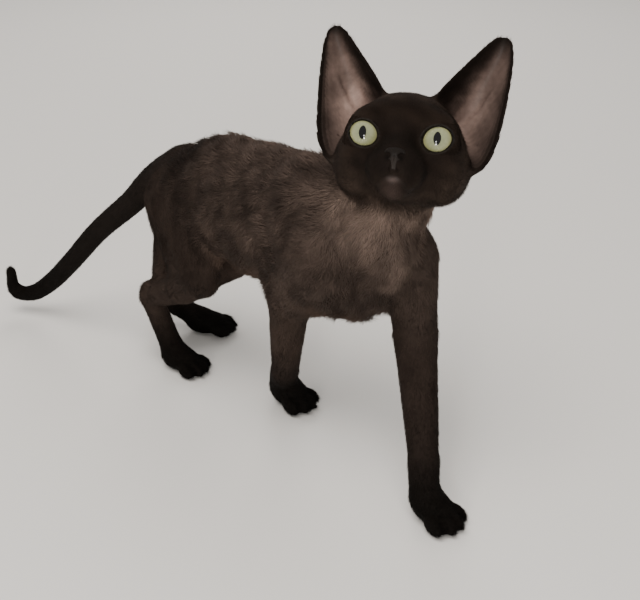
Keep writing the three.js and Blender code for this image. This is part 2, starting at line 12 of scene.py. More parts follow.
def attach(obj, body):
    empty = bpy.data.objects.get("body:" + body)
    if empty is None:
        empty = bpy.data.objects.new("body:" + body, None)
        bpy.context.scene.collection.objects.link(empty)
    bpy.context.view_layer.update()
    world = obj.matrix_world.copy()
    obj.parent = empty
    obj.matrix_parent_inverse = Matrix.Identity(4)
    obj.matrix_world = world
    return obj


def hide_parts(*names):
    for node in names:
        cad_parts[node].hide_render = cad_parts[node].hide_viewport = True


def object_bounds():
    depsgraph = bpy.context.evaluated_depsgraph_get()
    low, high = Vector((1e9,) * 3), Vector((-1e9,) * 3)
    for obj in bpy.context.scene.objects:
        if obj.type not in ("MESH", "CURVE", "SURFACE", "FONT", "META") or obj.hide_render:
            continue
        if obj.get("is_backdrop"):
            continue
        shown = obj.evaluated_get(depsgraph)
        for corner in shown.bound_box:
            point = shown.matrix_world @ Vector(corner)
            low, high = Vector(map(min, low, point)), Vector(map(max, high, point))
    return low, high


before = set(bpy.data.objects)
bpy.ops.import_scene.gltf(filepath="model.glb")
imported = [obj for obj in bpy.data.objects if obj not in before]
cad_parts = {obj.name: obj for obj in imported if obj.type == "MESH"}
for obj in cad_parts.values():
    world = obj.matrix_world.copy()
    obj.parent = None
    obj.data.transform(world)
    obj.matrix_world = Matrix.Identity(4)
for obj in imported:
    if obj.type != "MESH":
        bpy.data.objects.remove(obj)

scene = bpy.context.scene
cadBox = [list(corner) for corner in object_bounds()]
mm = 0.001
modelShift = np.array((28.134, 1.003, 0.0))  # from the model's numbers to the frame, in mm
print("frame loaded")


def toFrame(p):
    return (np.asarray(p) + modelShift) * mm


def toModel(p):
    return np.asarray(p) / mm - modelShift


# Masses: negative inside, about the distance to the surface outside. p is a table of points.

def lengthOf(v):
    return np.linalg.norm(v, axis=-1)


def unit(v):
    v = np.asarray(v, float)
    return v / np.maximum(lengthOf(v)[..., None], 1e-9)


def turned(turn=0, lift=0, roll=0):
    spin = Matrix.Rotation(math.radians(turn), 3, "Z") @ Matrix.Rotation(math.radians(-lift), 3, "Y")
    return np.array(spin @ Matrix.Rotation(math.radians(roll), 3, "X"))


def direction(turn, lift=0):
    turn, lift = math.radians(turn), math.radians(lift)
    return np.array((math.cos(turn) * math.cos(lift), math.sin(turn) * math.cos(lift), math.sin(lift)))


def ellipsoid(centre, radii, turn=0, lift=0, roll=0):
    spin, centre, radii = turned(turn, lift, roll), np.array(centre, float), np.array(radii, float)

    def mass(p):
        q = (p - centre) @ spin / radii
        near = lengthOf(q)
        return near * (near - 1) / np.maximum(lengthOf(q / radii), 1e-9)
    return mass


def cone(a, b, ra, rb, flat=1.0, across=(0, 1, 0)):
    a, b, across = np.array(a, float), np.array(b, float), np.array(across, float)
    axis = b - a
    long = axis @ axis
    side = unit(across - axis * (across @ axis) / long)

    def mass(p):
        q = p - a
        t = np.clip(q @ axis / long, 0, 1)
        off = q - t[:, None] * axis
        wide = off + side * ((off @ side) * (1 / flat - 1))[:, None]
        return (lengthOf(wide) - (ra + (rb - ra) * t)) * flat ** 0.5
    return mass


def smoothMin(d, e, width):
    h = np.maximum(width - np.abs(d - e), 0) / width
    return np.minimum(d, e) - h * h * width / 4


def smoothMax(d, e, width):
    return -smoothMin(-d, -e, width)


def blend(width, *masses):
    def mass(p):
        d = masses[0](p)
        for other in masses[1:]:
            d = smoothMin(d, other(p), width)
        return d
    return mass


def chain(*masses):
    return lambda p: np.min([mass(p) for mass in masses], axis=0)


farAway = 60.0  # what a mass says well away from itself, in mm


def within(mass, low, high):
    # the mass is only worked out inside a box, to save time
    low, high = np.array(low, float), np.array(high, float)

    def boxed(p):
        inside = np.all((p > low) & (p < high), axis=1)
        d = np.full(len(p), farAway)
        if inside.any():
            d[inside] = mass(p[inside])
        return d
    return boxed


def curvePoint(points, t):
    # a centripetal curve through the points, t from 0 to 1
    points = np.array(points, float)
    t = np.clip(np.atleast_1d(t), 0, 1) * (len(points) - 1)
    k = np.minimum(t.astype(int), len(points) - 2)
    w = (t - k)[:, None]
    padded = np.vstack([2 * points[0] - points[1], points, 2 * points[-1] - points[-2]])
    p0, p1, p2, p3 = padded[k], padded[k + 1], padded[k + 2], padded[k + 3]
    d0, d1, d2 = [lengthOf(b - a)[:, None] ** 0.5 for a, b in ((p0, p1), (p1, p2), (p2, p3))]
    m1 = ((p1 - p0) / d0 - (p2 - p0) / (d0 + d1) + (p2 - p1) / d1) * d1
    m2 = ((p2 - p1) / d1 - (p3 - p1) / (d1 + d2) + (p3 - p2) / d2) * d1
    return p1 + m1 * w + (3 * (p2 - p1) - 2 * m1 - m2) * w ** 2 + (2 * (p1 - p2) + m1 + m2) * w ** 3


def waves(p, length, seed, count=9):
    # a soft pattern from -1 to 1 with hills about that far apart
    draw = np.random.default_rng(seed)
    ways = unit(draw.normal(size=(count, 3))) * (2 * math.pi / length) * draw.uniform(0.6, 1.3, (count, 1))
    total = np.sin(p @ ways.T + draw.uniform(0, 2 * math.pi, count)).sum(axis=1)
    return np.clip(total / count ** 0.5 * 0.9, -1, 1)


def ramp(x, low, high):
    t = np.clip((x - low) / (high - low), 0, 1)
    return t * t * (3 - 2 * t)


# Torso and neck
trunk = blend(
    16,
    ellipsoid((32, 0, 122.4), (50, 26, 42.8), lift=-2),
    ellipsoid((64, 1, 114), (29, 23, 28), lift=28),
    ellipsoid((-18, 0, 127), (52, 25, 33.5), lift=3),
    ellipsoid((-14, 0, 111), (36, 20, 28)),
    ellipsoid((-60, 0, 115.5), (32, 21, 22), lift=12),
    ellipsoid((52, 15, 140), (20, 9, 20)),
    ellipsoid((44, -15, 140), (20, 9, 20)),
)
neck = blend(
    10,
    cone((58, 1, 128), (76, 13, 154), 27, 22),
    cone((76, 13, 154), (78, 20, 168), 22, 20),
    ellipsoid((86, -2, 132), (15, 16, 20), lift=30),
)

# Legs
legPlaces = {
    "foreleg_right": dict(
        top=(58, -19, 121), middle=(29.6, -10.8, 86), low=(15.6, -2.9, 32), paw=(9, 8, 11), heading=4),
    "foreleg_left": dict(
        top=(82, 24, 117), middle=(91, 20, 79), low=(123, -6, 31), paw=(135, -9, 11), heading=-2),
    "hindleg_right": dict(
        top=(-66, -14, 112), middle=(-33, -20, 76), calf=(-84.5, -18, 55), low=(-88, -21, 45),
        paw=(-64, -15, 10), heading=12),
    "hindleg_left": dict(
        top=(-64, 14, 112), middle=(-60, 23, 63), calf=(-86, 16, 62), low=(-116, 4, 25),
        paw=(-91, 27, 10), heading=42),
}
pawSizes = dict(fore=dict(size=1, longer=0), hind=dict(size=0.94, longer=3))


def pawMass(paw, heading, size, longer):
    way = direction(heading)
    left = np.array((-way[1], way[0], 0))

    def place(forward, aside, up):
        return np.array((paw[0], paw[1], up * size)) + way * forward * size + left * aside * size
    bulk = ellipsoid(place(-1 - longer, 0, 7.8), np.array((12 + longer, 9.8, 9)) * size, turn=heading)
    toes = []
    for k in (-1.5, -0.5, 0.5, 1.5):
        centre = place(9 if abs(k) < 1 else 5.6, k * 5.3, 5.2)
        toes.append(ellipsoid(centre, np.array((8.2, 4, 5.7)) * size, turn=heading + k * 7, lift=-8))
    return bulk, blend(0.8, *toes), place(-8 - longer, 0, 12), way


def legMass(name):
    place = legPlaces[name]
    top, middle, low = [np.array(place[k], float) for k in ("top", "middle", "low")]
    kind = name[:4]
    bulk, toes, heel, way = pawMass(place["paw"], place["heading"], **pawSizes[kind])
    if kind == "fore":
        split = middle + (low - middle) * 0.3
        across = (0.25, 1, 0)
        bones = [
            (top, middle, 17.5, 13.8, 0.8), (middle, split, 13.8, 11.9, 0.9), (split, low, 11.9, 9.2, 0.92),
            (low, heel, 9.2, 8.6, 1),
        ]
        extra = [(middle + (-5, 0, 5), middle, 6, 8, 0.9)]
    else:
        knee = middle + (-3, 0, 2)
        split = middle + (low - middle) * 0.45
        across = (0, 1, 0)
        bones = [
            (top, knee, 22, 14, 0.62), (knee, split, 14, 10.4, 0.75), (split, low, 10.4, 7.6, 0.88),
            (low, heel, 7.6, 8, 1),
        ]
        extra = [
            (top + (-12, 0, -6), middle + (low - middle) * 0.36, 14, 9, 0.62),
            (top + (-13, 0, -19), np.array(place["calf"]), 8.6, 5.8, 0.62),
            (low + (-3, 0, 5), low + (-1, 0, 1), 4.8, 6, 1),
        ]
    shapes, muscles = [[cone(*row, across) for row in rows] for rows in (bones, extra)]
    own = blend(6, chain(*shapes), *muscles, bulk)
    ends = np.array([top, middle, low, place["paw"]])
    box = (ends.min(axis=0) - 36, ends.max(axis=0) + 36)
    lines = [(a, b) for a, b, *_ in bones] + [(heel, np.array(place["paw"]) + way * 12)]
    foot = within(blend(2, bulk, toes), *box)
    return within(blend(1.2, own, toes), *box), foot, lines


# Tail
tailLine = [
    (-74, 0, 127), (-93, -6, 118), (-109, -15, 100), (-132, -27, 77), (-154, -35, 52),
    (-176, -41, 30), (-193, -48, 17), (-203, -55, 17), (-200, -58, 34),
]
tailRadii = (14, 10, 8.4, 7.6, 7.3, 7, 6.4, 5.6, 4.2)
tailShare = np.linspace(0, 1, 29)
tailPoints = curvePoint(tailLine, tailShare)
tailWide = np.interp(tailShare, np.linspace(0, 1, len(tailRadii)), tailRadii)
tailLinks = list(zip(tailPoints, tailPoints[1:], tailWide, tailWide[1:]))
tail = within(chain(*[cone(a, b, ra, rb) for a, b, ra, rb in tailLinks]), (-240, -95, -10), (-40, 40, 165))

# Head, in its own frame: X to the nose, Y to its left ear
headAt, headSize = np.array((87.4, 10.4, 181)), 0.94
headSpin = turned(-54.3, 26.7, -1.2)
eyeBall = dict(at=(18.6, 16.8, 0), radius=9.2, cornea=0.07, turn=3, lift=-2)
lids = dict(wide=7.1, high=6.15, thick=1.3, slant=0.1, clear=0.75, behind=1.6, rim=0.5, rimClear=0.28)


def toHead(p):
    return (p - headAt) @ headSpin / headSize


def fromHead(q):
    return np.asarray(q, float) @ headSpin.T * headSize + headAt


def eyeAt(side):
    x, y, z = eyeBall["at"]
    return np.array((x, y * side, z))


def eyeFrame(side):
    way = direction(eyeBall["turn"] * side, eyeBall["lift"])
    outward = unit(np.cross((0, 0, side), way))
    return way, outward, np.cross(way, outward) * side


def bothSides(make):
    return [make(1), make(-1)]


skull = blend(
    12,
    ellipsoid((-7, 0, 0.6), (31, 28, 23.2)),
    ellipsoid((10, 0, 8.2), (16, 18, 12.6)),
    *bothSides(lambda side: ellipsoid((2, 18.5 * side, -11.5), (21, 15, 17.5), turn=8 * side)),
    cone((-2, 0, -16), (25, 0, -21), 15, 8.5),
)
face = blend(
    9,
    skull,
    cone((20, 0, 6), (36, 0, -8.5), 8, 4.6),
    ellipsoid((26, 0, -14), (13, 12.5, 9.5)),
    *bothSides(lambda side: ellipsoid((20.5, 14.5 * side, 8.5), (7, 8.5, 5))),
    *bothSides(lambda side: ellipsoid((19, 17 * side, -9), (7, 8, 5))),
)
muzzle = blend(
    6,
    face,
    *bothSides(lambda side: ellipsoid((31.6, 6.2 * side, -17), (6.8, 6.8, 7))),
    ellipsoid((30.2, 0, -24.2), (6.4, 5.6, 5.2)),
)
headMass = blend(
    3.5,
    muzzle,
    *bothSides(lambda side: ellipsoid(eyeAt(side), [eyeBall["radius"] + lids["thick"]] * 3)),
)
earHollows = bothSides(lambda side: ellipsoid((0, 33 * side, 6), (8, 7, 12), roll=-16 * side))


def onFace(point):
    # where the head's surface lies straight out from its middle line
    start = np.array((min(18, point[0] - 8), 0, -8))
    way = unit(np.array(point) - start)
    low, high = 0.0, 60.0
    for _ in range(24):
        half = (low + high) / 2
        if headMass((start + way * half)[None])[0] < 0:
            low = half
        else:
            high = half
    return start + way * low


def channel(points, radius):
    line = [onFace(point) for point in points]
    return chain(*[cone(a, b, radius, radius) for a, b in zip(line, line[1:])])


mouthHalf = [(22, 12.5, -26), (26, 10.2, -26), (31, 7.8, -25), (35, 5.2, -22.8), (37, 2.8, -20.6)]
mouthLine = channel([*mouthHalf, (38.2, 0, -19.6), *[(x, -y, z) for x, y, z in mouthHalf[::-1]]], 0.7)
underNose = channel([(40, 0, -14.5), (39, 0, -17), (38, 0, -19.6)], 0.6)


def headLocal(q):
    d = headMass(q)
    for hollow in earHollows:
        d = smoothMax(d, -hollow(q), 4)
    d = smoothMax(d, -mouthLine(q), 1.4)
    return smoothMax(d, -underNose(q), 1.2)


head = within(lambda p: headLocal(toHead(p)) * headSize, (40, -45, 135), (140, 70, 235))

# Ears: cups of thin skin between an inner edge, an outer edge and a spine
earEdges = dict(
    inner=[(4, 8, 15), (3, 13, 24), (0, 21, 35), (-4, 31.5, 48), (-7, 37, 54.4), (-8, 41.4, 56.6)],
    outer=[(9, 26, -14), (7, 37.5, -11), (3, 43, 0), (-2, 45.5, 17), (-6, 46.8, 36), (-8, 46.6, 48),
           (-8.3, 45, 54), (-8, 41.4, 56.6)],
    spine=[(-17, 20, 0), (-20, 25, 12), (-19.5, 31, 26), (-16, 37, 41), (-11.5, 41, 52), (-8, 41.4, 56.6)],
)
earShape = dict(base=2.4, rim=1.2, rows=44, columns=30)
# folds inside the ear: place across it at a fifth of its height, lean, width, lowest, highest, rise in mm
earFolds = [
    (0.05, 1.4, 0.075, 0.1, 0.58, 0.9), (-0.13, 1.4, 0.1, 0.1, 0.55, -0.5), (-0.5, 0.5, 0.1, 0.07, 0.42, 0.7),
    (0.86, 0, 0.07, 0.16, 0.46, 0.5), (0.68, 0, 0.09, 0.14, 0.46, -0.2), (-0.28, 0.5, 0.07, 0.07, 0.34, 0.5),
]


def earSheet(side):
    # the middle surface of one ear, as a bmesh grid bent into a cup
    bm = bmesh.new()
    bmesh.ops.create_grid(bm, x_segments=earShape["columns"], y_segments=earShape["rows"], size=1)
    bm.verts.ensure_lookup_table()
    flat = np.array([v.co for v in bm.verts])
    t, s = flat[:, :1], (flat[:, 1] + 1) / 2
    a, b, c = [curvePoint(earEdges[k], s) * (1, side, 1) for k in ("inner", "outer", "spine")]
    places = c + (b - a) * t / 2 + ((a + b) / 2 - c) * t * t
    for v, place in zip(bm.verts, fromHead(places)):
        v.co = place
    bm.faces.ensure_lookup_table()
    middles = np.array([np.mean([flat[v.index] for v in f.verts], axis=0) for f in bm.faces])
    if side < 0:
        bmesh.ops.reverse_faces(bm, faces=bm.faces)
    bm.normal_update()
    tree = BVHTree.FromBMesh(bm)
    bm.free()
    return tree, middles[:, 0], (middles[:, 1] + 1) / 2


earSheets = {side: earSheet(side) for side in (1, -1)}


def earValue(side, p, near=14.0):
    # distance to the ear's skin, with where on the ear it is: s up the ear, t across it, and which face
    tree, across, along = earSheets[side]
    d = np.full(len(p), farAway)
    s, t, front = np.zeros((3, len(p)))
    q = toHead(p)
    for i in np.nonzero((q[:, 1] * side > -2) & (q[:, 2] > -28) & (q[:, 0] < 22) & (q[:, 0] > -40))[0]:
        place, normal, index, distance = tree.find_nearest(p[i], near)
        if place is None:
            continue
        s[i], t[i] = along[index], across[index]
        front[i] = 1.0 if (Vector(p[i]) - place).dot(normal) > 0 else -1.0
        d[i] = distance
    thick = (earShape["rim"] + (earShape["base"] - earShape["rim"]) * (1 - s) * (1 - t * t)) / 2 * headSize
    fold = 0
    for start, lean, wide, low, high, rise in earFolds:
        reach = ramp(s, low, low + 0.09) * (1 - ramp(s, high - 0.12, high))
        fold = fold + rise * reach * np.exp(-(((t - start - lean * (s - 0.2)) / wide) ** 2))
    fold = np.where(front > 0, fold, 0)
    return np.where(d < farAway, d - thick - fold, farAway), s, t, front


legs = {name: legMass(name) for name in legPlaces}
print("masses ready")

# Coat by region: depth over the skin and length of a tuft in mm, tufts to a square mm, lift in degrees
coatLooks = {
    "trunk": dict(depth=2.6, long=5.3, dense=2.3, lift=23, tint=(0.076, 0.0545, 0.044)),
    # the neck's tint is partly its own lighter coat and partly painted light, lighter for the light falling
    # on the front of the neck
    "neck": dict(depth=2.2, long=4.6, dense=2.6, lift=22, tint=(0.2, 0.144, 0.115)),
    "leg": dict(depth=1.3, long=3.4, dense=2.8, lift=16, tint=(0.034, 0.0235, 0.0185)),
    "paw": dict(depth=0.7, long=2.1, dense=2.8, lift=14, tint=(0.0042, 0.0032, 0.0025)),
    "tail": dict(depth=1.2, long=3.0, dense=2.6, lift=12, tint=(0.013, 0.0098, 0.008)),
    "head": dict(depth=0.7, long=2.4, dense=5.0, lift=18, tint=(0.0125, 0.0082, 0.006)),
    "ear": dict(depth=0.15, long=1.6, dense=2.6, lift=9, tint=(0.011, 0.0078, 0.006)),
}
regionNames = list(coatLooks)


def regionValues(p):
    # the value of every region's mass, and the whole skin's
    trunkValue, neckValue = trunk(p), neck(p)
    front = smoothMin(trunkValue, neckValue, 14)
    legValues = {name: legs[name][0](p) for name in legs}
    tailValue = tail(p)
    whole = np.min([smoothMin(front, d, 12) for d in [*legValues.values(), tailValue]], axis=0)
    headValue = head(p)
    whole = smoothMin(whole, headValue, 6)
    ears = [earValue(side, p) for side in (1, -1)]
    for ear in ears:
        whole = smoothMin(whole, ear[0], 4)
    return dict(
        trunk=trunkValue, neck=neckValue + 1, leg=np.min(list(legValues.values()), axis=0),
        paw=np.min([legs[name][1](p) for name in legs], axis=0) + 1.5, tail=tailValue, head=headValue,
        ear=np.minimum(ears[0][0], ears[1][0]), legs=legValues, ears=ears,
    ), whole


def shares(values):
    # how much each region counts at each point
    table = np.array([np.exp(-np.clip(values[name], -6, 40) / 2.2) for name in regionNames])
    table[regionNames.index("ear")] *= 3
    return table / table.sum(axis=0)


def shareOf(table, *names):
    return sum(table[regionNames.index(name)] for name in names)


def mixed(table, key):
    looks = np.array([coatLooks[name][key] for name in regionNames])
    return table.T @ looks


def settle(p, turns, most=1.5):
    # draws points onto the skin, which lies under the masses by the depth of the coat
    probe = 0.05
    for _ in range(turns):
        values, here = regionValues(p)
        slope = np.stack([(regionValues(p + step)[1] - here) / probe for step in np.eye(3) * probe], axis=1)
        steep = np.maximum((slope ** 2).sum(axis=1), 0.3)
        rise = np.clip(here + mixed(shares(values), "depth"), -most, most)
        p = p - slope * (rise / steep)[:, None]
    return p


bodyMarks = dict(chest=(0.05, 0.0365, 0.03), belly=(0.075, 0.048, 0.034))
# lip is the lower lip's pale pink skin with a painted highlight on it
faceLook = dict(mask=(0.0085, 0.0062, 0.005), cheek=(0.046, 0.032, 0.0245), chin=(0.038, 0.026, 0.022),
                # nostril is painted shade, the dark inside the nostril holes
                lip=(0.064, 0.046, 0.041), eyeRing=(0.0095, 0.0068, 0.005), nostril=(0.0012, 0.0009, 0.0008))
# the pair of numbers is painted light: the left ear's lining darker, the right ear's lighter
earLook = dict(inside=(0.2, 0.138, 0.115), earPaintedLight=(0.72, 1.1))

# Skin
skinLook = dict(voxel=1.86, grow=0.8, smooth=0.5)
fineSpots = [((33, 0, -15), 15.0)] + [(tuple(eyeAt(side) + eyeFrame(side)[0] * 8), 12.5) for side in (1, -1)]
fleshNodes = sorted(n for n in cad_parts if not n.startswith("eye_") and n != "nose")


def addObject(name, data):
    made = bpy.data.objects.new(name, data)
    scene.collection.objects.link(made)
    return made


def meshFrom(name, bm):
    mesh = bpy.data.meshes.new(name)
    bm.to_mesh(mesh)
    bm.free()
    return mesh


def addPiece(name, bm, slot, material, replaced=()):
    return placePiece(name, meshFrom(name, bm), slot, material, replaced)


def placePiece(name, mesh, slot, material, replaced=()):
    mesh.shade_smooth()
    mesh.materials.append(material)
    piece = addObject(name, mesh)
    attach(piece, "root")
    if replaced:
        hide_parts(*replaced)
    return piece


def largestPart(bm):
    # only the outer surface is kept, without any bubble that the remesh left inside
    left, best = set(bm.verts), []
    while left:
        group, edge = [], [left.pop()]
        while edge:
            v = edge.pop()
            group.append(v)
            for e in v.link_edges:
                other = e.other_vert(v)
                if other in left:
                    left.remove(other)
                    edge.append(other)
        if len(group) > len(best):
            best = group
    keep = set(best)
    bmesh.ops.delete(bm, geom=[v for v in bm.verts if v not in keep], context="VERTS")


def pointsOf(bm):
    return toModel(np.array([v.co for v in bm.verts]))


def setPoints(bm, p):
    for v, place in zip(bm.verts, toFrame(p)):
        v.co = place


def eyeSpot(side, p):
    # where a point lies on the lids: 1 on the rim of the opening, less inside it
    way, outward, upward = eyeFrame(side)
    q = toHead(p) - eyeAt(side)
    x, y, z = q @ outward, q @ upward, q @ way
    tall = lids["high"] * (1 - 0.1 * np.minimum(np.abs(x / lids["wide"]), 1) ** 6)
    rho = np.hypot(x / lids["wide"], (y - x * lids["slant"]) / tall)
    return np.where(z > 2, rho, 9.0), x, y


def openEyes(p):
    # the skin stops in a clean rim round each eye and goes down behind the eyeball
    p = p.copy()
    for side in (1, -1):
        way, outward, upward = eyeFrame(side)
        rho, x, y = eyeSpot(side, p)
        near = np.abs(rho - 1) < 0.06
        inside = (rho < 1) & ~near
        x1, y1 = x / rho, (y - x * lids["slant"]) / rho + x / rho * lids["slant"]
        outer = eyeBall["radius"] + lids["clear"]
        z1 = np.sqrt(np.maximum(outer ** 2 - x1 ** 2 - y1 ** 2, 1))
        rim = np.outer(x1, outward) + np.outer(y1, upward) + np.outer(z1, way)
        q = toHead(p) - eyeAt(side)
        pocket = unit(q) * (eyeBall["radius"] - lids["behind"])
        q = np.where(near[:, None], rim, np.where(inside[:, None], pocket, q))
        changed = near | inside
        p[changed] = fromHead(q[changed] + eyeAt(side))
    return p


def buildSkin():
    bm = bmesh.new()
    for name in fleshNodes:
        bm.from_mesh(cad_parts[name].data)
    bmesh.ops.remove_doubles(bm, verts=bm.verts, dist=1e-6)
    bm.normal_update()
    for v in bm.verts:
        v.co += v.normal * skinLook["grow"] * mm
    rough = addObject("rough", meshFrom("rough", bm))
    remesh = rough.modifiers.new("even", "REMESH")
    remesh.mode = "VOXEL"
    remesh.voxel_size = skinLook["voxel"] * mm
    even = bpy.data.meshes.new_from_object(rough.evaluated_get(bpy.context.evaluated_depsgraph_get()))
    bpy.data.objects.remove(rough)
    bm = bmesh.new()
    bm.from_mesh(even)
    largestPart(bm)
    for spots in ([], fineSpots):
        p = pointsOf(bm)
        q = toHead(p)
        ears = [earValue(side, p) for side in (1, -1)]
        if spots:
            finer = np.any([lengthOf(q - centre) < radius for centre, radius in spots], axis=0)
            finer |= np.any([(d < 2.5) & ((np.abs(t) > 0.84) | (s > 0.95)) for d, s, t, _ in ears], axis=0)
        else:
            finer = (headMass(q) < 3) | (np.min([ear[0] for ear in ears], axis=0) < 3)
        for v, chosen in zip(bm.verts, finer):
            v.select = bool(chosen)
        chosen = [e for e in bm.edges if e.verts[0].select and e.verts[1].select]
        bmesh.ops.subdivide_edges(bm, edges=chosen, cuts=1, use_grid_fill=True)
    bmesh.ops.triangulate(bm, faces=[f for f in bm.faces if len(f.verts) > 4])
    print("skin points", len(bm.verts))
    setPoints(bm, settle(pointsOf(bm), 3))
    for _ in range(2):
        bmesh.ops.smooth_vert(bm, verts=bm.verts, factor=skinLook["smooth"],
                              use_axis_x=True, use_axis_y=True, use_axis_z=True)
    setPoints(bm, openEyes(settle(pointsOf(bm), 2)))
    bmesh.ops.recalc_face_normals(bm, faces=bm.faces)
    return bm


def apart(q, centre, radii):
    # distance from a centre, as a share of the radii
    return lengthOf((q - centre) / radii)


def spot(q, centre, radii):
    return np.exp(-apart(q, centre, radii) ** 2)


def markings(p):
    # colour and bareness of the skin and of the coat that grows there
    values, _ = regionValues(p)
    share = shares(values)
    tint = mixed(share, "tint")
    ahead, high = p[:, 0], p[:, 2]

    def toward(colour, amount):
        return tint * (1 - amount[:, None]) + np.array(colour) * amount[:, None]

    def lighter(factor):
        return tint * factor[:, None]
    # body: dark to the rump, lighter chest and belly
    onBody = shareOf(share, "trunk", "neck")
    tint = lighter(1 - 0.76 * onBody * ramp(-ahead, 8, 72))
    tint = lighter(1 - 0.6 * shareOf(share, "neck") * (1 - ramp(ahead, 52, 88)))
    tint = toward(bodyMarks["chest"], 0.75 * onBody * ramp(ahead, 25, 75) * ramp(-high, -158, -132))
    tint = toward(bodyMarks["belly"], 0.7 * shareOf(share, "trunk") * ramp(-high, -104, -88))
    # legs and tail: dark to the paws and to the tip
    onLeg = shareOf(share, "leg", "paw")
    # painted light and shade: every leg lighter except the left foreleg, furthest forward, which is painted
    # darker
    tint = lighter(1 + onLeg * (0.35 - 0.65 * ramp(ahead, 45, 85)))
    tint = lighter(1 - 0.45 * onLeg * ramp(high, 55, 85) * ramp(-ahead, 0, 30))
    tint = toward(coatLooks["trunk"]["tint"], 0.6 * onLeg * ramp(high, 70, 115) * ramp(ahead, -20, 20))
    tint = toward(coatLooks["paw"]["tint"], onLeg * (1 - ramp(high, 8, 62)))
    tint = toward(coatLooks["paw"]["tint"], 0.8 * shareOf(share, "tail") * ramp(-ahead, 110, 190))
    # face: lighter cheeks and chin round a dark mask
    q = toHead(p)
    onHead = shareOf(share, "head")
    tint = toward(faceLook["cheek"], 0.8 * onHead * ramp(apart(q, (30, 0, -4), (1, 1, 0.9)), 20, 42))
    tint = lighter(1 + 0.22 * onHead * waves(p, 9, 63))
    maskReach = apart(q, (36, 0, -8), (1, 1.5, 1)) + 3 * waves(p, 8, 31)
    tint = toward(faceLook["mask"], 0.7 * (onHead * (1 - ramp(maskReach, 5, 22))))
    tint = toward(faceLook["chin"], onHead * spot(q, (34, 0, -27), (6, 4.2, 5.5)))
    # the lower lip's pale pink skin, with a painted highlight on top of it
    lipSkinAndHighlight = onHead * spot(q, (36, 0, -21.6), (3, 2.6, 1.2))
    tint = toward(faceLook["lip"], lipSkinAndHighlight)
    lip = np.exp(-np.maximum(mouthLine(q), 0) ** 2 / 0.4) * (headMass(q) < 4)
    tint = toward(faceLook["mask"], 0.8 * lip)
    bare = np.maximum(lip, lipSkinAndHighlight)
    for side in (1, -1):
        # painted shade: the dark of the nostril holes, painted on the skin under the nose
        tint = toward(faceLook["nostril"], spot(q, (38.6, 2.9 * side, -12), (2.5, 1.4, 1.6)))
        ring = 1 - ramp(eyeSpot(side, p)[0], 1.08, 1.18)
        tint = toward(faceLook["eyeRing"], ring)
        bare = np.maximum(bare, ring)
    # ears: bare, lighter inside, with fur along the edges; the lining carries painted light and shade as well
    # as its own uneven tone
    for (d, s, t, front), earPaintedLight in zip(values["ears"], earLook["earPaintedLight"]):
        on = ((d < 2.5) & (front > 0)).astype(float)
        furry = ramp(t + 0.06 * waves(p, 6, 91), -0.92, -0.1) * ramp(1 - t, 0.03, 0.26)
        inner = on * furry * ramp(1 - s, 0.03, 0.34)
        # painted sheen on the lining near the ear's base, towards its inner edge
        paintedSheen = np.exp(-((t + 0.1) / 0.4) ** 2 - ((s - 0.28) / 0.17) ** 2)
        liningToneAndLight = 0.62 + 0.2 * waves(p, 13, 5) + 0.75 * paintedSheen
        # darker towards the tip, then painted light: one ear's lining darker, the other's lighter
        liningToneAndLight = liningToneAndLight * (1 - 0.55 * ramp(s, 0.4, 0.9)) * earPaintedLight * (1 + 0.1 * waves(p, 3, 17))
        # painted shade in the pocket low on the ear's outer side
        liningToneAndLight = liningToneAndLight * (1 - 0.5 * ramp(t, 0.3, 0.75) * (1 - ramp(s, 0.3, 0.55)))
        tint = toward(np.array(earLook["inside"]) * liningToneAndLight[:, None], inner)
        bald = on * ramp(t, -0.7, -0.3) * ramp(1 - t, 0.0, 0.1) * (1 - 0.55 * ramp(s, 0.3, 0.6))
        bare = np.maximum(bare, bald)
    return tint, bare, share, values


# Flow of the coat
def lineFlow(p, lines, soft=4.0):
    total, weight = np.zeros((len(p), 3)), np.zeros(len(p))
    for a, b in lines:
        a, b = np.array(a, float), np.array(b, float)
        axis = b - a
        t = np.clip((p - a) @ axis / (axis @ axis), 0, 1)
        w = np.exp(-lengthOf(p - a - t[:, None] * axis) / soft) + 1e-12
        total += w[:, None] * unit(axis)
        weight += w
    return total / weight[:, None]


def flowAt(p, normal, share, values):
    # the way that the hair lies, along the skin
    flows = {}
    sides = np.abs(normal[:, 1])
    chest = ramp(normal[:, 0], 0.1, 0.7) * ramp(p[:, 0], 50, 80)
    flows["trunk"] = (-1, 0, 0) - np.outer(0.55 * sides, (0, 0, 1)) + np.outer(chest, (1.0, 0, -1.6))
    flows["neck"] = unit((-0.25, -0.2, -1.0)) - np.outer(ramp(-normal[:, 0], 0, 1), (0.8, 0, 0))
    total, weight = np.zeros((len(p), 3)), np.full(len(p), 1e-9)
    for name, (_, _, lines) in legs.items():
        w = np.exp(-np.clip(values["legs"][name], -8, 40) / 3)
        total += lineFlow(p, lines) * w[:, None]
        weight += w
    flows["leg"] = flows["paw"] = total / weight[:, None]
    flows["tail"] = lineFlow(p, [(a, b) for a, b, _, _ in tailLinks])
    q = toHead(p)
    flows["head"] = unit(q - (37, 0, -5)) @ headSpin.T
    tips = np.where(q[:, 1:2] > 0, [(-3, 16, 52)], [(-3, -16, 52)])
    flows["ear"] = unit(tips) @ headSpin.T
    flow = sum(share[i][:, None] * flows[name] for i, name in enumerate(regionNames))
    flow = flow - normal * (flow * normal).sum(axis=1)[:, None]
    return unit(flow)


# Coat: tufts planted on the skin
coatShape = dict(seed=7, most=1_400_000, pieceMost=190_000, sink=0.5, underPaw=0.15, patch=0.003)
coatSlots = dict(head="face", ear="face")
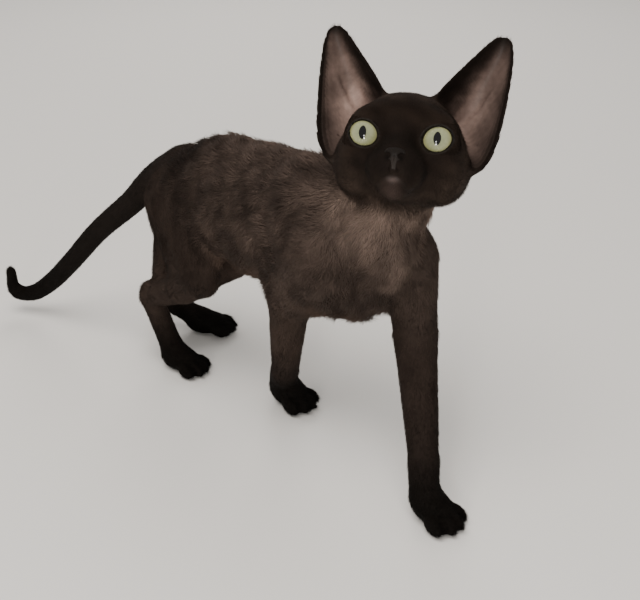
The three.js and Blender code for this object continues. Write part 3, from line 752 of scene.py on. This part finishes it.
# width in mm, how far the flow waves, and where along it a tuft has a ring between root and tip
tuftLooks = {
    "trunk": dict(wide=0.46, wave=0.5, rings=(0.45,)),
    "neck": dict(wide=0.42, wave=0.45, rings=(0.45,)),
    "leg": dict(wide=0.34, wave=0.25, rings=()),
    "tail": dict(wide=0.34, wave=0.12, rings=()),
    "head": dict(wide=0.25, wave=0.15, rings=()),
    "ear": dict(wide=0.18, wave=0.1, rings=()),
}
# the tufts on the paws are shaped like the legs' tufts
tuftLooks["paw"] = tuftLooks["leg"]


def tuftTemplate(rings):
    # a closed three-sided tuft: x across, y in thickness, z the place along it
    bm = bmesh.new()
    bmesh.ops.create_circle(bm, cap_ends=True, segments=3, radius=1)
    base = bm.faces[:]
    bmesh.ops.reverse_faces(bm, faces=base)
    top = bmesh.ops.extrude_face_region(bm, geom=base, use_keep_orig=True)
    for step in [*rings, 1.0]:
        verts = [g for g in top["geom"] if isinstance(g, bmesh.types.BMVert)]
        faces = [g for g in top["geom"] if isinstance(g, bmesh.types.BMFace)]
        for v in verts:
            v.co.z = step
        if step < 1:
            top = bmesh.ops.extrude_face_region(bm, geom=faces)
    bmesh.ops.pointmerge(bm, verts=verts, merge_co=(0, 0, 1))
    bmesh.ops.recalc_face_normals(bm, faces=bm.faces)
    bmesh.ops.triangulate(bm, faces=bm.faces)
    bm.verts.index_update()
    shape = np.array([v.co for v in bm.verts])
    sides = np.array([[v.index for v in f.verts] for f in bm.faces])
    bm.free()
    return shape, sides


def growTufts(shape, roots, normal, flow, long, wide, lift, bend):
    # every tuft leaves the skin at its lift and lies down towards its tip
    roots, normal, flow = [table[:, None] for table in (roots, normal, flow)]
    long, wide, lift, bend = [table[:, None, None] for table in (long, wide, lift, bend)]
    across, high, t = shape.T[:, :, None]
    side = np.cross(normal, flow)
    thick = np.where(t < 1, np.maximum(1 - t, 0.0) ** 0.45, 0.0)
    rise = np.sin(lift) * (t - 0.42 * t ** 2)
    ahead = np.cos(lift * 0.8) * t
    middle = roots + long * (ahead * flow + rise * normal + bend * t ** 2 * side)
    middle = middle - normal * (coatShape["sink"] * (1 - t))
    return middle + wide * (across * thick * 0.5 * side + high * thick * 0.32 * normal)


def readTable(items, key, each, kind=np.float32):
    table = np.zeros(len(items) * each, kind)
    items.foreach_get(key, table)
    return table.reshape(-1, each)


def writeTable(items, key, table):
    items.foreach_set(key, table.astype(np.float32).ravel())


def joinTufts(name, verts, sides, uv, tint, slot, material):
    count, each = verts.shape[:2]
    corners = (sides[None] + (np.arange(count) * each)[:, None, None]).reshape(-1)
    mesh = bpy.data.meshes.new(name)
    mesh.vertices.add(count * each)
    writeTable(mesh.vertices, "co", toFrame(verts))
    mesh.loops.add(len(corners))
    mesh.loops.foreach_set("vertex_index", corners.astype(np.int32))
    mesh.polygons.add(len(corners) // 3)
    mesh.polygons.foreach_set("loop_start", np.arange(0, len(corners), 3, dtype=np.int32))
    mesh.update(calc_edges=True)
    writeTable(mesh.uv_layers.new(name="OFBake").data, "uv", uv.reshape(-1, 2)[corners])
    writeTable(mesh.attributes.new("tint", "FLOAT_COLOR", "POINT").data, "color", tint)
    return placePiece(name, mesh, slot, material)


def unwrap(piece):
    bpy.ops.object.select_all(action="DESELECT")
    piece.select_set(True)
    bpy.context.view_layer.objects.active = piece
    piece.data.uv_layers.new(name="OFBake")
    bpy.ops.object.mode_set(mode="EDIT")
    bpy.ops.mesh.select_all(action="SELECT")
    bpy.ops.uv.smart_project(angle_limit=math.radians(66), island_margin=0.001)
    bpy.ops.object.mode_set(mode="OBJECT")


def paintSkin(mesh):
    tint, bare, _, _ = markings(toModel(readTable(mesh.vertices, "co", 3)))
    colour = np.ones((len(bare), 4))
    colour[:, :3] = tint * (0.7 + 0.3 * bare[:, None])
    writeTable(mesh.attributes.new("tint", "FLOAT_COLOR", "POINT").data, "color", colour)
    writeTable(mesh.attributes.new("bare", "FLOAT", "POINT").data, "value", bare)


def ofRegion(key, region):
    return np.array([tuftLooks[name][key] for name in regionNames])[region]


def plantTufts(mesh, rng):
    # draws the roots by area, density and bareness, each with its normal and its place on the skin's map
    mesh.calc_loop_triangles()
    corners = readTable(mesh.loop_triangles, "vertices", 3, np.int32)
    loops = readTable(mesh.loop_triangles, "loops", 3, np.int32)
    co = toModel(readTable(mesh.vertices, "co", 3))
    normals = np.array([v.vector for v in mesh.vertex_normals])
    uvs = readTable(mesh.uv_layers["OFBake"].data, "uv", 2)
    corner = co[corners]
    facing = np.cross(corner[:, 1] - corner[:, 0], corner[:, 2] - corner[:, 0])
    area = lengthOf(facing) / 2
    middle = corner.mean(axis=1)
    _, bare, share, _ = markings(middle)
    wish = area * mixed(share, "dense") * (1 - ramp(bare, 0.2, 0.8))
    wish[(middle[:, 2] < 1.2) & (unit(facing)[:, 2] < -0.8)] *= coatShape["underPaw"]
    for side in (1, -1):
        wish[eyeSpot(side, middle)[0] < 1.1] = 0
    wish[noseMass(toHead(middle)) < 0.4] = 0
    triangles = np.array([4 + 6 * len(tuftLooks[name]["rings"]) for name in regionNames])
    cost = triangles[np.argmax(share, axis=0)]
    total = (wish * cost).sum()
    wish *= min(1, coatShape["most"] / total)
    made = int(wish.sum())
    print("tufts wanted", made, "of triangles", int((wish * cost).sum()), "uncut", int(total))
    chosen = np.sort(rng.choice(len(corners), made, p=wish / wish.sum()))
    a, b = rng.random(made), rng.random(made)
    over = a + b > 1
    a[over], b[over] = 1 - a[over], 1 - b[over]
    weight = np.stack([1 - a - b, a, b], axis=1)[:, :, None]
    picked = [table[chosen] for table in (corner, normals[corners], uvs[loops])]
    roots, normal, uv = [(table * weight).sum(axis=1) for table in picked]
    return roots, unit(normal), uv


def combTufts(roots, normal, rng):
    # the direction, sizes, lift, bend, tone and colour of every tuft
    tint, _, share, values = markings(roots)
    made = len(roots)
    region = np.argmax(share, axis=0)
    flow = flowAt(roots, normal, share, values)
    angle = ofRegion("wave", region) * waves(roots, 15, 21) + rng.normal(0, 0.16, made)
    flow = unit(flow * np.cos(angle)[:, None] + np.cross(normal, flow) * np.sin(angle)[:, None])
    q = toHead(roots)
    onHead = shareOf(share, "head")
    jowl = onHead * ramp(-q[:, 2], 0, 20) * ramp(-q[:, 0], -20, 0)
    long = mixed(share, "long") * rng.uniform(0.75, 1.2, made)
    long *= 1 + 0.7 * jowl
    long *= 1 - onHead * 0.45 * ramp(q[:, 0], 4, 30)
    for side in (1, -1):
        long *= 0.45 + 0.55 * ramp(eyeSpot(side, roots)[0], 1.1, 1.9)
    long *= 0.5 + 0.5 * ramp(noseMass(q), 0, 4)
    for d, s, t, _ in values["ears"]:
        long *= np.where(d < 2, 1 + 1.5 * ramp(s, 0.965, 0.99) + 0.4 * ramp(np.abs(t), 0.9, 0.99), 1)
    wide = ofRegion("wide", region) * rng.uniform(0.7, 1.25, made)
    shaggy = shareOf(share, "trunk", "neck") + 0.6 * shareOf(share, "leg") * ramp(roots[:, 2], 65, 100)
    ruffled = ramp(waves(roots, 13, 44) + rng.normal(0, 0.12, made), 0.25, 0.6) * shaggy
    long *= 1 + 0.6 * ruffled
    rough = 8 * waves(roots, 8, 33) * (0.4 + 0.6 * shaggy) + 15 * ruffled + 9 * jowl
    lift = np.radians(mixed(share, "lift") + rough + rng.normal(0, 5, made))
    lift = np.clip(lift, math.radians(3), math.radians(60))
    bend = 0.3 * waves(roots, 11, 55) + rng.normal(0, 0.12, made)
    tone = 1 + rng.uniform(-1, 1, made) * (0.16 + 0.36 * onHead)
    tone = tone * (1 + 0.24 * waves(roots, 27, 71) + 0.22 * waves(roots, 9, 72))
    return region, (flow, long, wide, lift, bend), tone, tint


def growCoat(skin, material):
    rng = np.random.default_rng(coatShape["seed"])
    roots, normal, uv = plantTufts(skin.data, rng)
    region, combed, tone, tint = combTufts(roots, normal, rng)
    for i in np.unique(region):
        name = regionNames[i]
        shape, sides = tuftTemplate(tuftLooks[name]["rings"])
        t = shape[:, 2]
        patch = np.stack([shape[:, 0] * 0.5, t - 0.5], axis=1) * coatShape["patch"]
        mine = np.nonzero(region == i)[0]
        mine = mine[np.argsort(roots[mine, 0], kind="stable")]
        pieces = math.ceil(len(mine) * len(sides) / coatShape["pieceMost"])
        for k, some in enumerate(np.array_split(mine, pieces)):
            verts = growTufts(shape, *[table[some] for table in (roots, normal, *combed)])
            shade = (0.78 + 0.36 * t)[None, :] * tone[some][:, None]
            colour = np.ones((*shade.shape, 4))
            colour[..., :3] = tint[some][:, None] * shade[..., None]
            label, slot = f"coat_{name}_{k + 1}", coatSlots.get(name, "coat")
            joinTufts(label, verts, sides, uv[some][:, None] + patch[None], colour, slot, material)
            print(label, len(some), "tufts", len(some) * len(sides), "triangles")


# Nose leather
noseMass = blend(
    2.5,
    ellipsoid((37.6, 0, -9.4), (4.2, 3.8, 2.9)),
    *bothSides(lambda side: ellipsoid((37.3, 2.8 * side, -10.4), (3.7, 2.1, 2.5))),
    cone((38.7, 0, -11), (38.1, 0, -16.2), 2.1, 1.6),
)
# strip is the paler skin down the philtrum, partly its own grey and partly painted light
noseLook = dict(leather=(0.0082, 0.0064, 0.0054), strip=(0.0165, 0.013, 0.011))


def nostril(side):
    middle = np.array((40.6, 2.75 * side, -10.8))
    pit = ellipsoid(middle, (3, 1.2, 1.1), turn=22 * side, roll=25 * side)
    slit = cone(middle + (-0.8, 0.5 * side, 0), middle + (-3, 2.2 * side, 0.7), 0.7, 0.45)
    return chain(pit, slit)


def buildNose():
    bm = bmesh.new()
    bmesh.ops.create_icosphere(bm, subdivisions=5, radius=1)
    ways = unit([v.co for v in bm.verts])
    centre = np.array((36.6, 0, -10.4))
    pits = bothSides(nostril)

    def leather(q):
        d = noseMass(q)
        for pit in pits:
            d = smoothMax(d, -pit(q), 0.9)
        crease = np.maximum(np.abs(q[:, 1]) - 0.22, q[:, 2] + 11)
        return smoothMax(d, -np.maximum(crease, -noseMass(q) - 0.4), 0.5)
    low, high = np.zeros(len(ways)), np.full(len(ways), 12.0)
    for _ in range(22):
        half = (low + high) / 2
        inside = leather(centre + ways * half[:, None]) < 0
        low, high = np.where(inside, half, low), np.where(inside, high, half)
    q = centre + ways * low[:, None]
    setPoints(bm, fromHead(q))
    # paler down the philtrum: partly the bare skin's own grey, partly painted light
    strip = np.exp(-(q[:, 1] / 1.8) ** 2) * ramp(-q[:, 2], 10.6, 13)
    layer = bm.verts.layers.float_color.new("tint")
    leatherTint, stripTint = np.array(noseLook["leather"]), np.array(noseLook["strip"])
    for v, amount in zip(bm.verts, strip):
        v[layer] = (*(leatherTint * (1 - amount) + stripTint * amount), 1)
    bmesh.ops.recalc_face_normals(bm, faces=bm.faces)
    return bm


# Eyes
eyeLook = dict(
    gazeLift=1.5, segments=64, rings=40, rimSteps=72, rimSides=10, rimTint=(0.0065, 0.005, 0.0045),
    irisScale=18.4, irisEdge=8.6, fibres=14.0, pupilWide=1.65, pupilTall=3.0,
)


def buildEye(side):
    bm = bmesh.new()
    bmesh.ops.create_uvsphere(bm, u_segments=eyeLook["segments"], v_segments=eyeLook["rings"], radius=1)
    way, _, upward = eyeFrame(side)
    way = unit(way + upward * math.radians(eyeLook["gazeLift"]))
    across = unit(np.cross((0, 0, 1), way))
    up = np.cross(way, across)
    flat = np.array([v.co for v in bm.verts])
    turn = np.arccos(np.clip(flat[:, 2], -1, 1))
    bulge = 1 + eyeBall["cornea"] * np.maximum(0, 1 - (turn / 0.72) ** 2)
    places = sum(np.outer(flat[:, k], axis) for k, axis in enumerate((across, up, way))) * bulge[:, None]
    uv = bm.loops.layers.uv.new("iris")
    for f in bm.faces:
        for loop in f.loops:
            x, y, _ = loop.vert.co
            loop[uv].uv = (0.5 + x * 0.5, 0.5 + y * 0.5)
    setPoints(bm, fromHead(eyeAt(side) + places * eyeBall["radius"]))
    bmesh.ops.recalc_face_normals(bm, faces=bm.faces)
    return bm


def buildLidRim(side):
    # the moist edge of the lids, a thin closed roll that lies on the eyeball
    way, outward, upward = eyeFrame(side)
    far = 3
    upright = Matrix.Translation((far, 0, 0)) @ Matrix.Rotation(math.pi / 2, 4, "X")
    bm = bmesh.new()
    bmesh.ops.create_circle(bm, cap_ends=False, segments=eyeLook["rimSides"], radius=1, matrix=upright)
    bmesh.ops.spin(bm, geom=bm.verts[:] + bm.edges[:], cent=(0, 0, 0), axis=(0, 0, 1), dvec=(0, 0, 0),
                   angle=2 * math.pi, steps=eyeLook["rimSteps"], use_merge=True, use_duplicate=False)
    bmesh.ops.remove_doubles(bm, verts=bm.verts, dist=1e-4)
    flat = np.array([v.co for v in bm.verts])
    turn = np.arctan2(flat[:, 1], flat[:, 0])
    pipe = np.stack([np.hypot(flat[:, 0], flat[:, 1]) - far, flat[:, 2]], axis=1)
    wide = lids["wide"] * np.cos(turn)
    tall = lids["high"] * np.sin(turn) * (1 - 0.1 * np.abs(np.cos(turn)) ** 6) + wide * lids["slant"]
    lie = eyeBall["radius"] + lids["rimClear"]
    centre = np.stack([wide, tall, np.sqrt(np.maximum(lie ** 2 - wide ** 2 - tall ** 2, 1))], axis=1)
    outwards = unit(centre * (1, 1, 0))
    radial = unit(centre)
    q = centre + (outwards * pipe[:, :1] + radial * pipe[:, 1:]) * lids["rim"]
    q = q[:, :1] * outward + q[:, 1:2] * upward + q[:, 2:] * way + eyeAt(side)
    setPoints(bm, fromHead(q))
    bmesh.ops.recalc_face_normals(bm, faces=bm.faces)
    return bm


# Materials

def newMaterial(name, values):
    material = bpy.data.materials.new(name)
    material.use_nodes = True
    nodes, links = material.node_tree.nodes, material.node_tree.links
    shader = nodes["Principled BSDF"]
    for key, value in values.items():
        shader.inputs[key].default_value = value
    return material, nodes, links, shader


def node(nodes, kind, values):
    made = nodes.new(kind)
    for key, value in values.items():
        made.inputs[key].default_value = value
    return made


def attribute(nodes, name):
    made = nodes.new("ShaderNodeAttribute")
    made.attribute_name = name
    return made


def addBump(nodes, links, shader, height, strength, distance):
    bump = node(nodes, "ShaderNodeBump", {"Strength": strength, "Distance": distance})
    links.new(height, bump.inputs["Height"])
    links.new(bump.outputs["Normal"], shader.inputs["Normal"])


def calculator(nodes, links):
    def calc(operation, a, b=None):
        made = nodes.new("ShaderNodeMath")
        made.operation = operation
        for i, value in enumerate((a, b)):
            if isinstance(value, float):
                made.inputs[i].default_value = value
            elif value is not None:
                links.new(value, made.inputs[i])
        return made.outputs[0]
    return calc


def scaledColour(nodes, links, colour, factor):
    made = nodes.new("ShaderNodeVectorMath")
    made.operation = "SCALE"
    links.new(colour, made.inputs[0])
    links.new(factor, made.inputs["Scale"])
    return made.outputs[0]


def mottleGroup():
    # uneven colour of fur or skin: a tint goes in, and comes out lighter and darker in two sizes of patch
    group = bpy.data.node_groups.new("mottle", "ShaderNodeTree")
    sockets = [
        ("Tint", "NodeSocketColor", (0.1, 0.1, 0.1, 1)), ("Patch Size", "NodeSocketFloat", 60.0),
        ("Amount", "NodeSocketFloat", 0.3),
    ]
    for name, kind, start in sockets:
        group.interface.new_socket(name=name, in_out="INPUT", socket_type=kind).default_value = start
    group.interface.new_socket(name="Color", in_out="OUTPUT", socket_type="NodeSocketColor")
    group.interface.new_socket(name="Height", in_out="OUTPUT", socket_type="NodeSocketFloat")
    nodes, links = group.nodes, group.links
    calc = calculator(nodes, links)
    into, out = nodes.new("NodeGroupInput"), nodes.new("NodeGroupOutput")
    place = nodes.new("ShaderNodeTexCoord")
    large = node(nodes, "ShaderNodeTexNoise", {"Detail": 3.0, "Roughness": 0.6})
    fine = node(nodes, "ShaderNodeTexNoise", {"Scale": 900.0, "Detail": 3.0, "Roughness": 0.65})
    links.new(place.outputs["Object"], large.inputs["Vector"])
    links.new(place.outputs["Object"], fine.inputs["Vector"])
    links.new(into.outputs["Patch Size"], large.inputs["Scale"])
    both = calc("ADD", calc("MULTIPLY", large.outputs["Fac"], 1.3),
                calc("MULTIPLY", fine.outputs["Fac"], 0.7))
    factor = calc("ADD", calc("MULTIPLY", calc("SUBTRACT", both, 1.0), into.outputs["Amount"]), 1.0)
    links.new(scaledColour(nodes, links, into.outputs["Tint"], factor), out.inputs["Color"])
    links.new(fine.outputs["Fac"], out.inputs["Height"])
    return group


mottle = mottleGroup()


def mottledMaterial(name, values, size, amount, tint=None):
    # an uneven base colour, from the piece's own tint unless one is given
    material, nodes, links, shader = newMaterial(name, values)
    made = nodes.new("ShaderNodeGroup")
    made.node_tree = mottle
    made.inputs["Patch Size"].default_value = size
    made.inputs["Amount"].default_value = amount
    if tint:
        made.inputs["Tint"].default_value = (*tint, 1)
    else:
        links.new(attribute(nodes, "tint").outputs["Color"], made.inputs["Tint"])
    links.new(made.outputs["Color"], shader.inputs["Base Color"])
    return material, nodes, links, shader, made.outputs["Height"]


def coatMaterial():
    return mottledMaterial("kittenCoat", {"Roughness": 0.72, "Specular IOR Level": 0.07}, 70.0, 0.45)[0]


def skinMaterial():
    material, nodes, links, shader, height = mottledMaterial(
        "kittenSkin", {"Roughness": 0.8, "Specular IOR Level": 0.05, "Coat Roughness": 0.4}, 160.0, 0.35)
    bare = attribute(nodes, "bare").outputs["Fac"]
    links.new(calculator(nodes, links)("MULTIPLY", bare, 0.3), shader.inputs["Coat Weight"])
    addBump(nodes, links, shader, height, 0.35, 0.0003)
    return material


def noseMaterial():
    values = {"Roughness": 0.65, "Specular IOR Level": 0.08, "Coat Weight": 0.03, "Coat Roughness": 0.3}
    material, nodes, links, shader, _ = mottledMaterial("noseLeather", values, 500.0, 0.4)
    place = nodes.new("ShaderNodeTexCoord")
    cells = node(nodes, "ShaderNodeTexVoronoi", {"Scale": 1500.0})
    links.new(place.outputs["Object"], cells.inputs["Vector"])
    addBump(nodes, links, shader, cells.outputs["Distance"], 0.5, 0.00025)
    return material


def rimMaterial():
    values = {"Roughness": 0.5, "Specular IOR Level": 0.15}
    return mottledMaterial("lidRim", values, 500.0, 0.4, eyeLook["rimTint"])[0]


def eyeMaterial():
    # iris fibres, the dark ring at the iris's edge and the upright pupil, all on the eye's own map
    material, nodes, links, shader = newMaterial(
        "kittenEye", {"Roughness": 0.5, "Specular IOR Level": 0.0, "Coat Weight": 1.0, "Coat Roughness": 0.02,
                      "Coat IOR": 1.4})
    calc = calculator(nodes, links)
    place = nodes.new("ShaderNodeUVMap")
    place.uv_map = "iris"
    centred = nodes.new("ShaderNodeVectorMath")
    centred.operation = "SUBTRACT"
    centred.inputs[1].default_value = (0.5, 0.5, 0)
    links.new(place.outputs["UV"], centred.inputs[0])
    parts = nodes.new("ShaderNodeSeparateXYZ")
    links.new(centred.outputs[0], parts.inputs[0])
    x, y = [calc("MULTIPLY", parts.outputs[k], eyeLook["irisScale"]) for k in "XY"]
    far = calc("SQRT", calc("ADD", calc("MULTIPLY", x, x), calc("MULTIPLY", y, y)))
    turn = calc("ARCTAN2", y, x)
    fibre = node(nodes, "ShaderNodeTexNoise", {"Scale": 1.0, "Detail": 4.0})
    polar = nodes.new("ShaderNodeCombineXYZ")
    links.new(calc("MULTIPLY", calc("COSINE", turn), eyeLook["fibres"]), polar.inputs["X"])
    links.new(calc("MULTIPLY", calc("SINE", turn), eyeLook["fibres"]), polar.inputs["Y"])
    links.new(calc("MULTIPLY", far, 0.55), polar.inputs["Z"])
    links.new(polar.outputs[0], fibre.inputs["Vector"])
    ring = nodes.new("ShaderNodeValToRGB")
    stops = [(0.0, (0.12, 0.13, 0.074)), (0.24, (0.17, 0.182, 0.106)), (0.5, (0.212, 0.221, 0.126)),
             (0.7, (0.205, 0.207, 0.096)), (0.8, (0.11, 0.102, 0.043)), (0.9, (0.02, 0.016, 0.009))]
    while len(ring.color_ramp.elements) < len(stops):
        ring.color_ramp.elements.new(0.5)
    for stop, (where, colour) in zip(ring.color_ramp.elements, stops):
        stop.position = where
        stop.color = (*colour, 1)
    links.new(calc("DIVIDE", far, eyeLook["irisEdge"]), ring.inputs["Fac"])
    streaks = calc("ADD", calc("MULTIPLY", fibre.outputs["Fac"], 0.5), 0.75)
    tallShare = calc("DIVIDE", y, eyeLook["pupilTall"])
    room = calc("SUBTRACT", 1.0, calc("MULTIPLY", tallShare, tallShare))
    room = calc("POWER", calc("MAXIMUM", room, 0.0), 0.6)
    room = calc("MULTIPLY", room, eyeLook["pupilWide"])
    beyond = calc("GREATER_THAN", calc("ABSOLUTE", tallShare), 1.0)
    room = calc("SUBTRACT", room, calc("MULTIPLY", beyond, 9.0))
    inPupil = calc("SUBTRACT", room, calc("ABSOLUTE", x))
    sharp = node(nodes, "ShaderNodeMapRange", {"From Min": -0.08, "From Max": 0.08})
    links.new(inPupil, sharp.inputs["Value"])
    mixer = nodes.new("ShaderNodeMix")
    mixer.data_type = "RGBA"
    links.new(sharp.outputs[0], mixer.inputs["Factor"])
    links.new(scaledColour(nodes, links, ring.outputs["Color"], streaks), mixer.inputs[6])
    mixer.inputs[7].default_value = (0.002, 0.002, 0.002, 1)
    links.new(mixer.outputs[2], shader.inputs["Base Color"])
    return material


# Making the kitten
skin = addPiece("skin", buildSkin(), "coat", skinMaterial(), fleshNodes)
unwrap(skin)
print("skin unwrapped")
paintSkin(skin.data)
print("skin painted")
growCoat(skin, coatMaterial())
print("coat grown")

eyePaint, rimPaint = eyeMaterial(), rimMaterial()
for side, name in ((1, "left"), (-1, "right")):
    addPiece("eyeball_" + name, buildEye(side), "eye", eyePaint, ["eye_" + name])
    addPiece("lid_rim_" + name, buildLidRim(side), "face", rimPaint)
addPiece("nose_leather", buildNose(), "nose", noseMaterial(), ["nose"])
print("eyes and nose made")

# Floor, light and camera
stageLook = dict(floor=(0.62, 0.6, 0.57), reach=6.0, sky=(0.9, 0.885, 0.87), skyPower=0.75)
# name, place, target, width in metres, power in watts, colour
lamps = [
    ("overhead", (0.3, -0.5, 1.5), (0, 0, 0.1), 1.2, 26, (1, 0.96, 0.92)),
    ("catchlight", (0.5, -0.56, 0.1), (0.1, 0, 0.16), 0.13, 2.4, (1, 0.97, 0.94)),
    ("catchlightTwo", (0.46, -0.52, 0.3), (0.1, 0, 0.16), 0.1, 1.0, (1, 0.97, 0.94)),
    ("behind", (-0.9, 0.8, 0.9), (0, 0, 0.1), 0.8, 8, (1, 0.97, 0.94)),
]
look = dict(place=(380, -317, 334), turn=136.88, down=28.18, lens=56.25, sensor=36)


def buildStage():
    bm = bmesh.new()
    bmesh.ops.create_grid(bm, x_segments=1, y_segments=1, size=stageLook["reach"])
    floor = addObject("floor", meshFrom("floor", bm))
    paper = newMaterial("floorPaper", {"Roughness": 0.9, "Base Color": (*stageLook["floor"], 1)})[0]
    floor.data.materials.append(paper)
    floor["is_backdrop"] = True


def addLight(name, place, target, size, power, colour):
    lamp = bpy.data.lights.new(name, "AREA")
    lamp.shape, lamp.size, lamp.energy, lamp.color = "DISK", size, power, colour
    made = addObject(name, lamp)
    made.location = place
    made.rotation_euler = (Vector(target) - Vector(place)).to_track_quat("-Z", "Y").to_euler()
    made.visible_camera = False
    # only the small lamps make a glint in the eyes
    made.visible_glossy = lamp.size < 0.5


def buildWorld():
    world = bpy.data.worlds.new("studio")
    world.use_nodes = True
    back = world.node_tree.nodes["Background"]
    back.inputs["Color"].default_value = (*stageLook["sky"], 1)
    back.inputs["Strength"].default_value = stageLook["skyPower"]
    scene.world = world


def addCamera():
    camera = bpy.data.cameras.new("camera")
    camera.lens, camera.sensor_width, camera.clip_start = look["lens"], look["sensor"], 0.02
    made = addObject("camera", camera)
    made.location = toFrame(look["place"])
    way = Vector(direction(look["turn"], -look["down"]))
    made.rotation_euler = way.to_track_quat("-Z", "Y").to_euler()
    scene.camera = made


buildStage()
buildWorld()
for lamp in lamps:
    addLight(*lamp)
addCamera()
print("stage set")

bpy.context.view_layer.update()
({"cad": [list(map(float, c)) for c in cadBox],
           "visual": [list(map(float, c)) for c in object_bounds()]})
